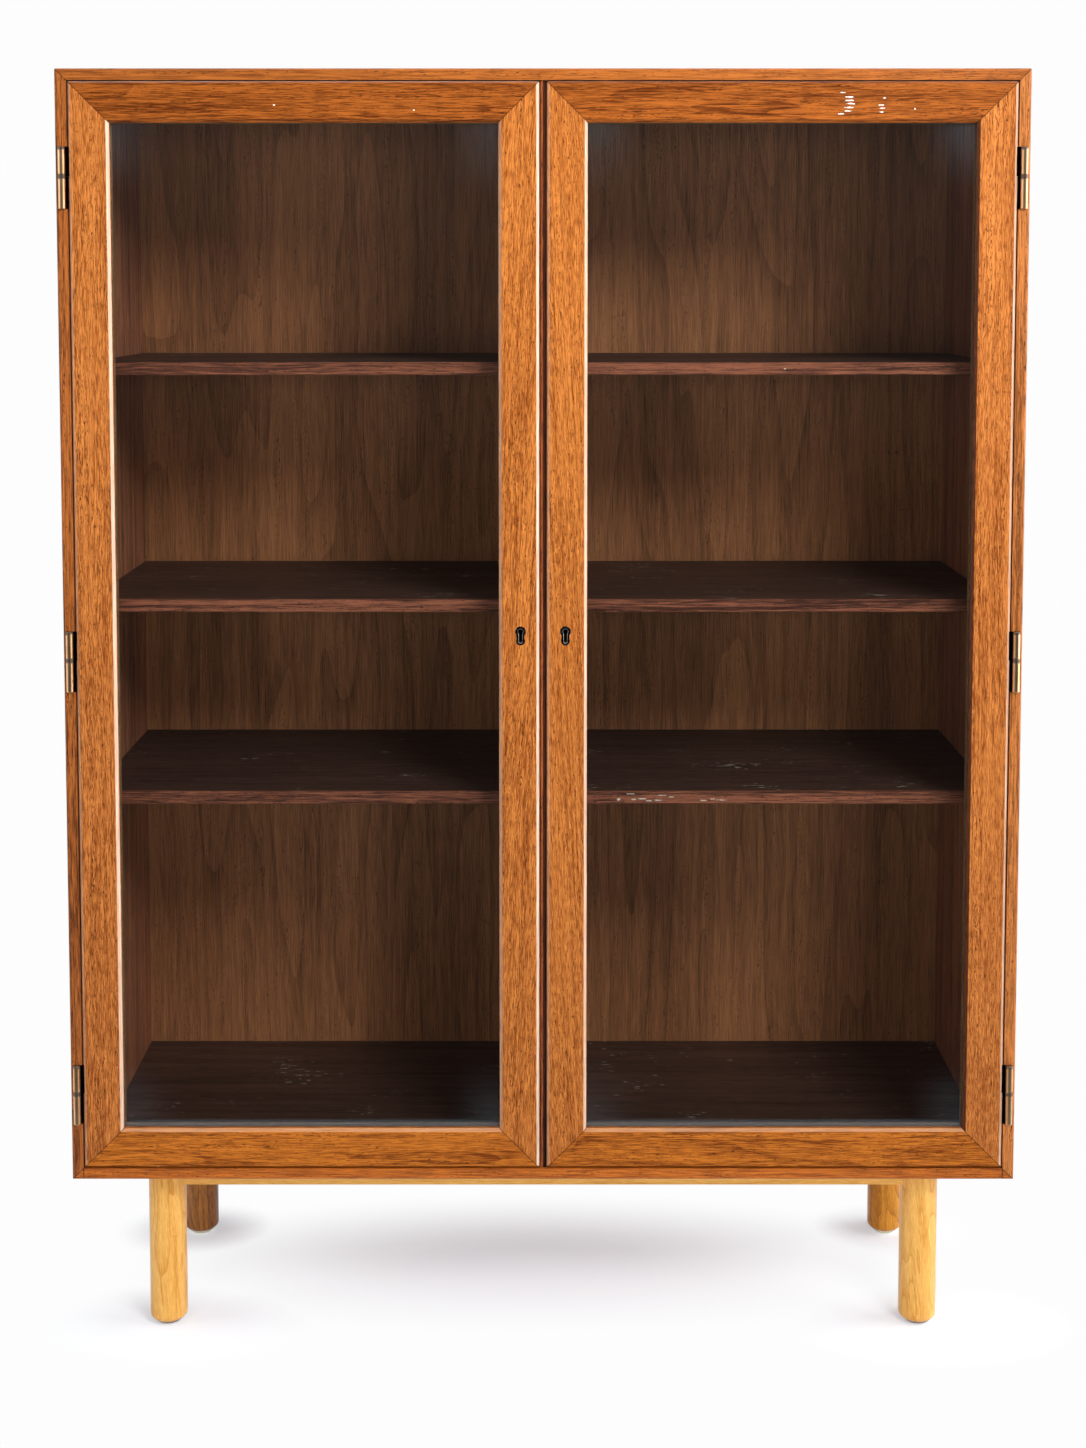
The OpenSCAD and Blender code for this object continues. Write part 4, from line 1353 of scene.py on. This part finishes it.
@dataclass
class Door:
    """A glazed door with its mitred frame, pane, beads, lock and keyhole liner.

    The chips are those of both doors, as rows of x, z and half sizes in metres.
    """

    side: Side
    seed: float
    seed_step: float = 0.37
    seed_beads: float = 2.0
    member_w: float = 50.5 * MM
    lean: float = 0.05
    bore_half: tuple[float, float] = (4.3 * MM, 8.4 * MM)
    stile: Figure = Figure(
        band=2.6, band_share=1.1, broad_share=0.6, fibre=0.8, fibre_length=14.0, fibre_share=3.0,
        ring_share=0.2, pore_length=5.0, pore_cover=0.4, wander=2.5,
    )
    rail: Figure = Figure(
        band=3.0, band_share=1.2, fibre=0.9, fibre_length=24.0, fibre_share=3.1, ring_share=0.4,
        pore_cover=0.3, wander=4.0,
    )
    chips_and_shade: tuple[tuple[float, float, float, float], ...] = (
        (0.3674, 1.5853, 0.0038, 0.0006), (0.3755, 1.5799, 0.0051, 0.0009), (0.3767, 1.5756, 0.0059, 0.0009),
        (0.3780, 1.5717, 0.0055, 0.0009), (0.3768, 1.5671, 0.0064, 0.0009), (0.3744, 1.5628, 0.0051, 0.0008),
        (0.3665, 1.5594, 0.0043, 0.0010), (0.4193, 1.5787, 0.0019, 0.0010), (0.4154, 1.5701, 0.0036, 0.0009),
        (0.4161, 1.5661, 0.0038, 0.0009), (0.4162, 1.5616, 0.0031, 0.0009), (0.4566, 1.5653, 0.0014, 0.0009),
        (-0.3302, 1.5701, 0.0014, 0.0009), (-0.1584, 1.5641, 0.0013, 0.0009),
        (-0.4906, 0.2286, 0.0012, 0.0009),
    )

    def node(self, part: str) -> str:
        """Name of one of this door's nodes."""
        return f"{self.side.name.lower()}_{part}"

    def frame_woods(self) -> dict[str, Wood]:
        """Finishes of the four frame members: solid teak, planed, bevelled and oiled thinly, with painted
        highlights on their arrises and bevels, painted shade on the right hinge stile's bevel and in the
        keyhole bore.

        Returns:
            Node and finish of each.
        """
        members = ("hinge_stile", "lock_stile", "top_rail", "bottom_rail")
        outline = Frame2D.around([self.node(part) for part in members])
        glass = self.member_w - DOOR_BEVEL
        # Painted highlights on the arrises and bevels; the shares are highest on the edges that face the
        # lamps on the right
        wear_and_highlight = ArrisHighlight(outline, glass)
        left = self.side is Side.LEFT
        solid = Wood(
            "", "#d48340", "#7b390b", "#3d1705", Grain.ALONG_Z, self.seed, self.stile, specular=0.13,
            coat=0.04, mitre=outline,
        )
        chips_and_shade = tuple(Spot(*row) for row in self.chips_and_shade if row[0] * self.side.value > 0)
        level = replace(solid, grain=Grain.ALONG_X, figure=self.rail, chips_and_shade=chips_and_shade)
        # Painted shade: a near-black ellipse where the keyhole bore runs into the dark lock
        low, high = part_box(self.node("escutcheon"))
        bore_shade = Spot((low.x + high.x) / 2, (low.z + high.z) / 2, *self.bore_half)
        looks = {
            "hinge_stile": replace(
                solid,
                arris_highlight=replace(wear_and_highlight, outer_share=0.3 if left else 0.65, inner_share=0.95 if left else 0.0),
                # Painted shade on the right hinge stile's bevel and reveal, which face away from the lamps on
                # the right
                lining_and_shade=None if left else LiningAndShade(outline, glass, "#6a3a1e", "#381a0c"),
            ),
            "lock_stile": replace(
                solid, light="#d0803b", dark="#7a380b", chips_and_shade=(bore_shade,), chip_and_shade_colour="#0f0703",
                figure=replace(self.stile, lean=self.lean * self.side.value),
                arris_highlight=replace(wear_and_highlight, outer_share=0.95 if left else 0.25, inner_share=0.4 if left else 0.85),
            ),
            "top_rail": replace(
                level, light="#ab5e22", dark="#532305",
                arris_highlight=ArrisHighlight(outline, glass, 1.6 * MM, "#cdb6b0", 0.75 if left else 0.3, 0.0),
            ),
            "bottom_rail": replace(
                level, light="#c77324", dark="#6d3107",
                arris_highlight=replace(wear_and_highlight, outer_share=0.0, inner_share=0.6, colour="#deb08c"),
            ),
        }
        named = {}
        for offset, (part, look) in enumerate(looks.items()):
            node, seed = self.node(part), self.seed + self.seed_step * offset
            named[node] = replace(look, name=f"teak_{node}_oiled", seed=seed)
        return named

    def build(self) -> None:
        """Dresses every piece of the door and makes its keyhole liner."""
        for name, wood in self.frame_woods().items():
            wood.dress(name)
        Wood(
            f"teak_{self.node('beads')}_stained", "#a9825f", "#6e4a33", "#3a2418", Grain.ALONG_X,
            self.seed + self.seed_beads,
        ).dress(self.node("glazing_beads"))
        pane = self.node("glass")
        WindowGlass(f"glass_{self.node('pane')}_drawn", Frame2D.around([pane])).dress(pane)
        # The lock's case is sheet steel, painted near-black as the shade seen through the keyhole, and its
        # bolt cast brass, coloured near-black
        case, bolt = self.node("lock_case"), self.node("lock_bolt")
        Plain(f"steel_{case}_shade_black", "#0d0d0f", "#18181b").dress(case)
        Brass(f"brass_{bolt}_old", "#2b251b", "#17130d", "#0e0c0a").dress(bolt)
        blued = Steel(f"steel_{self.node('liner')}_blued", "#161c26", "#cbc5bb", roughness=0.32, rim=True)
        KeyholeLiner(self.node("escutcheon")).build(self.node("door"), blued.material())


@dataclass
class Hinges:
    """Lift-off barrel hinges, their pins and screws, and the strike plates."""

    def build(self) -> None:
        """Dresses the metal on the case and doors."""
        low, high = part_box("hinge_pins")
        pin_r = (high.y - low.y) / 2
        axis = (high.x - pin_r, (low.y + high.y) / 2)
        # Barrels turned and polished, screws turned, plates stamped, and pins drawn from steel rod
        # The leaves beside each barrel are painted black as the shade in their recess
        Brass("brass_hinges_turned", hinge_axis=axis).dress(
            *(f"{side}_{part}_knuckles" for side in ("left", "right") for part in ("upper", "lower"))
        )
        Brass("brass_screws_and_plates").dress(
            "case_hinge_screws", "left_door_screws", "right_door_screws", "strike_plates"
        )
        Steel("steel_hinge_pins_drawn", "#8b8f96", "#b9bcc0").dress("hinge_pins")


def main() -> None:
    """Builds the shot, the studio and every sub-assembly."""
    Shot().build()
    Studio().build()
    for assembly in (Case(), Shelves(), Base(), Door(Side.LEFT, 20.0), Door(Side.RIGHT, 30.0), Hinges()):
        assembly.build()
        LOG.info("%s done", type(assembly).__name__)


if __name__ == "__main__":
    logging.basicConfig(level=logging.INFO, format="%(message)s")
    main()
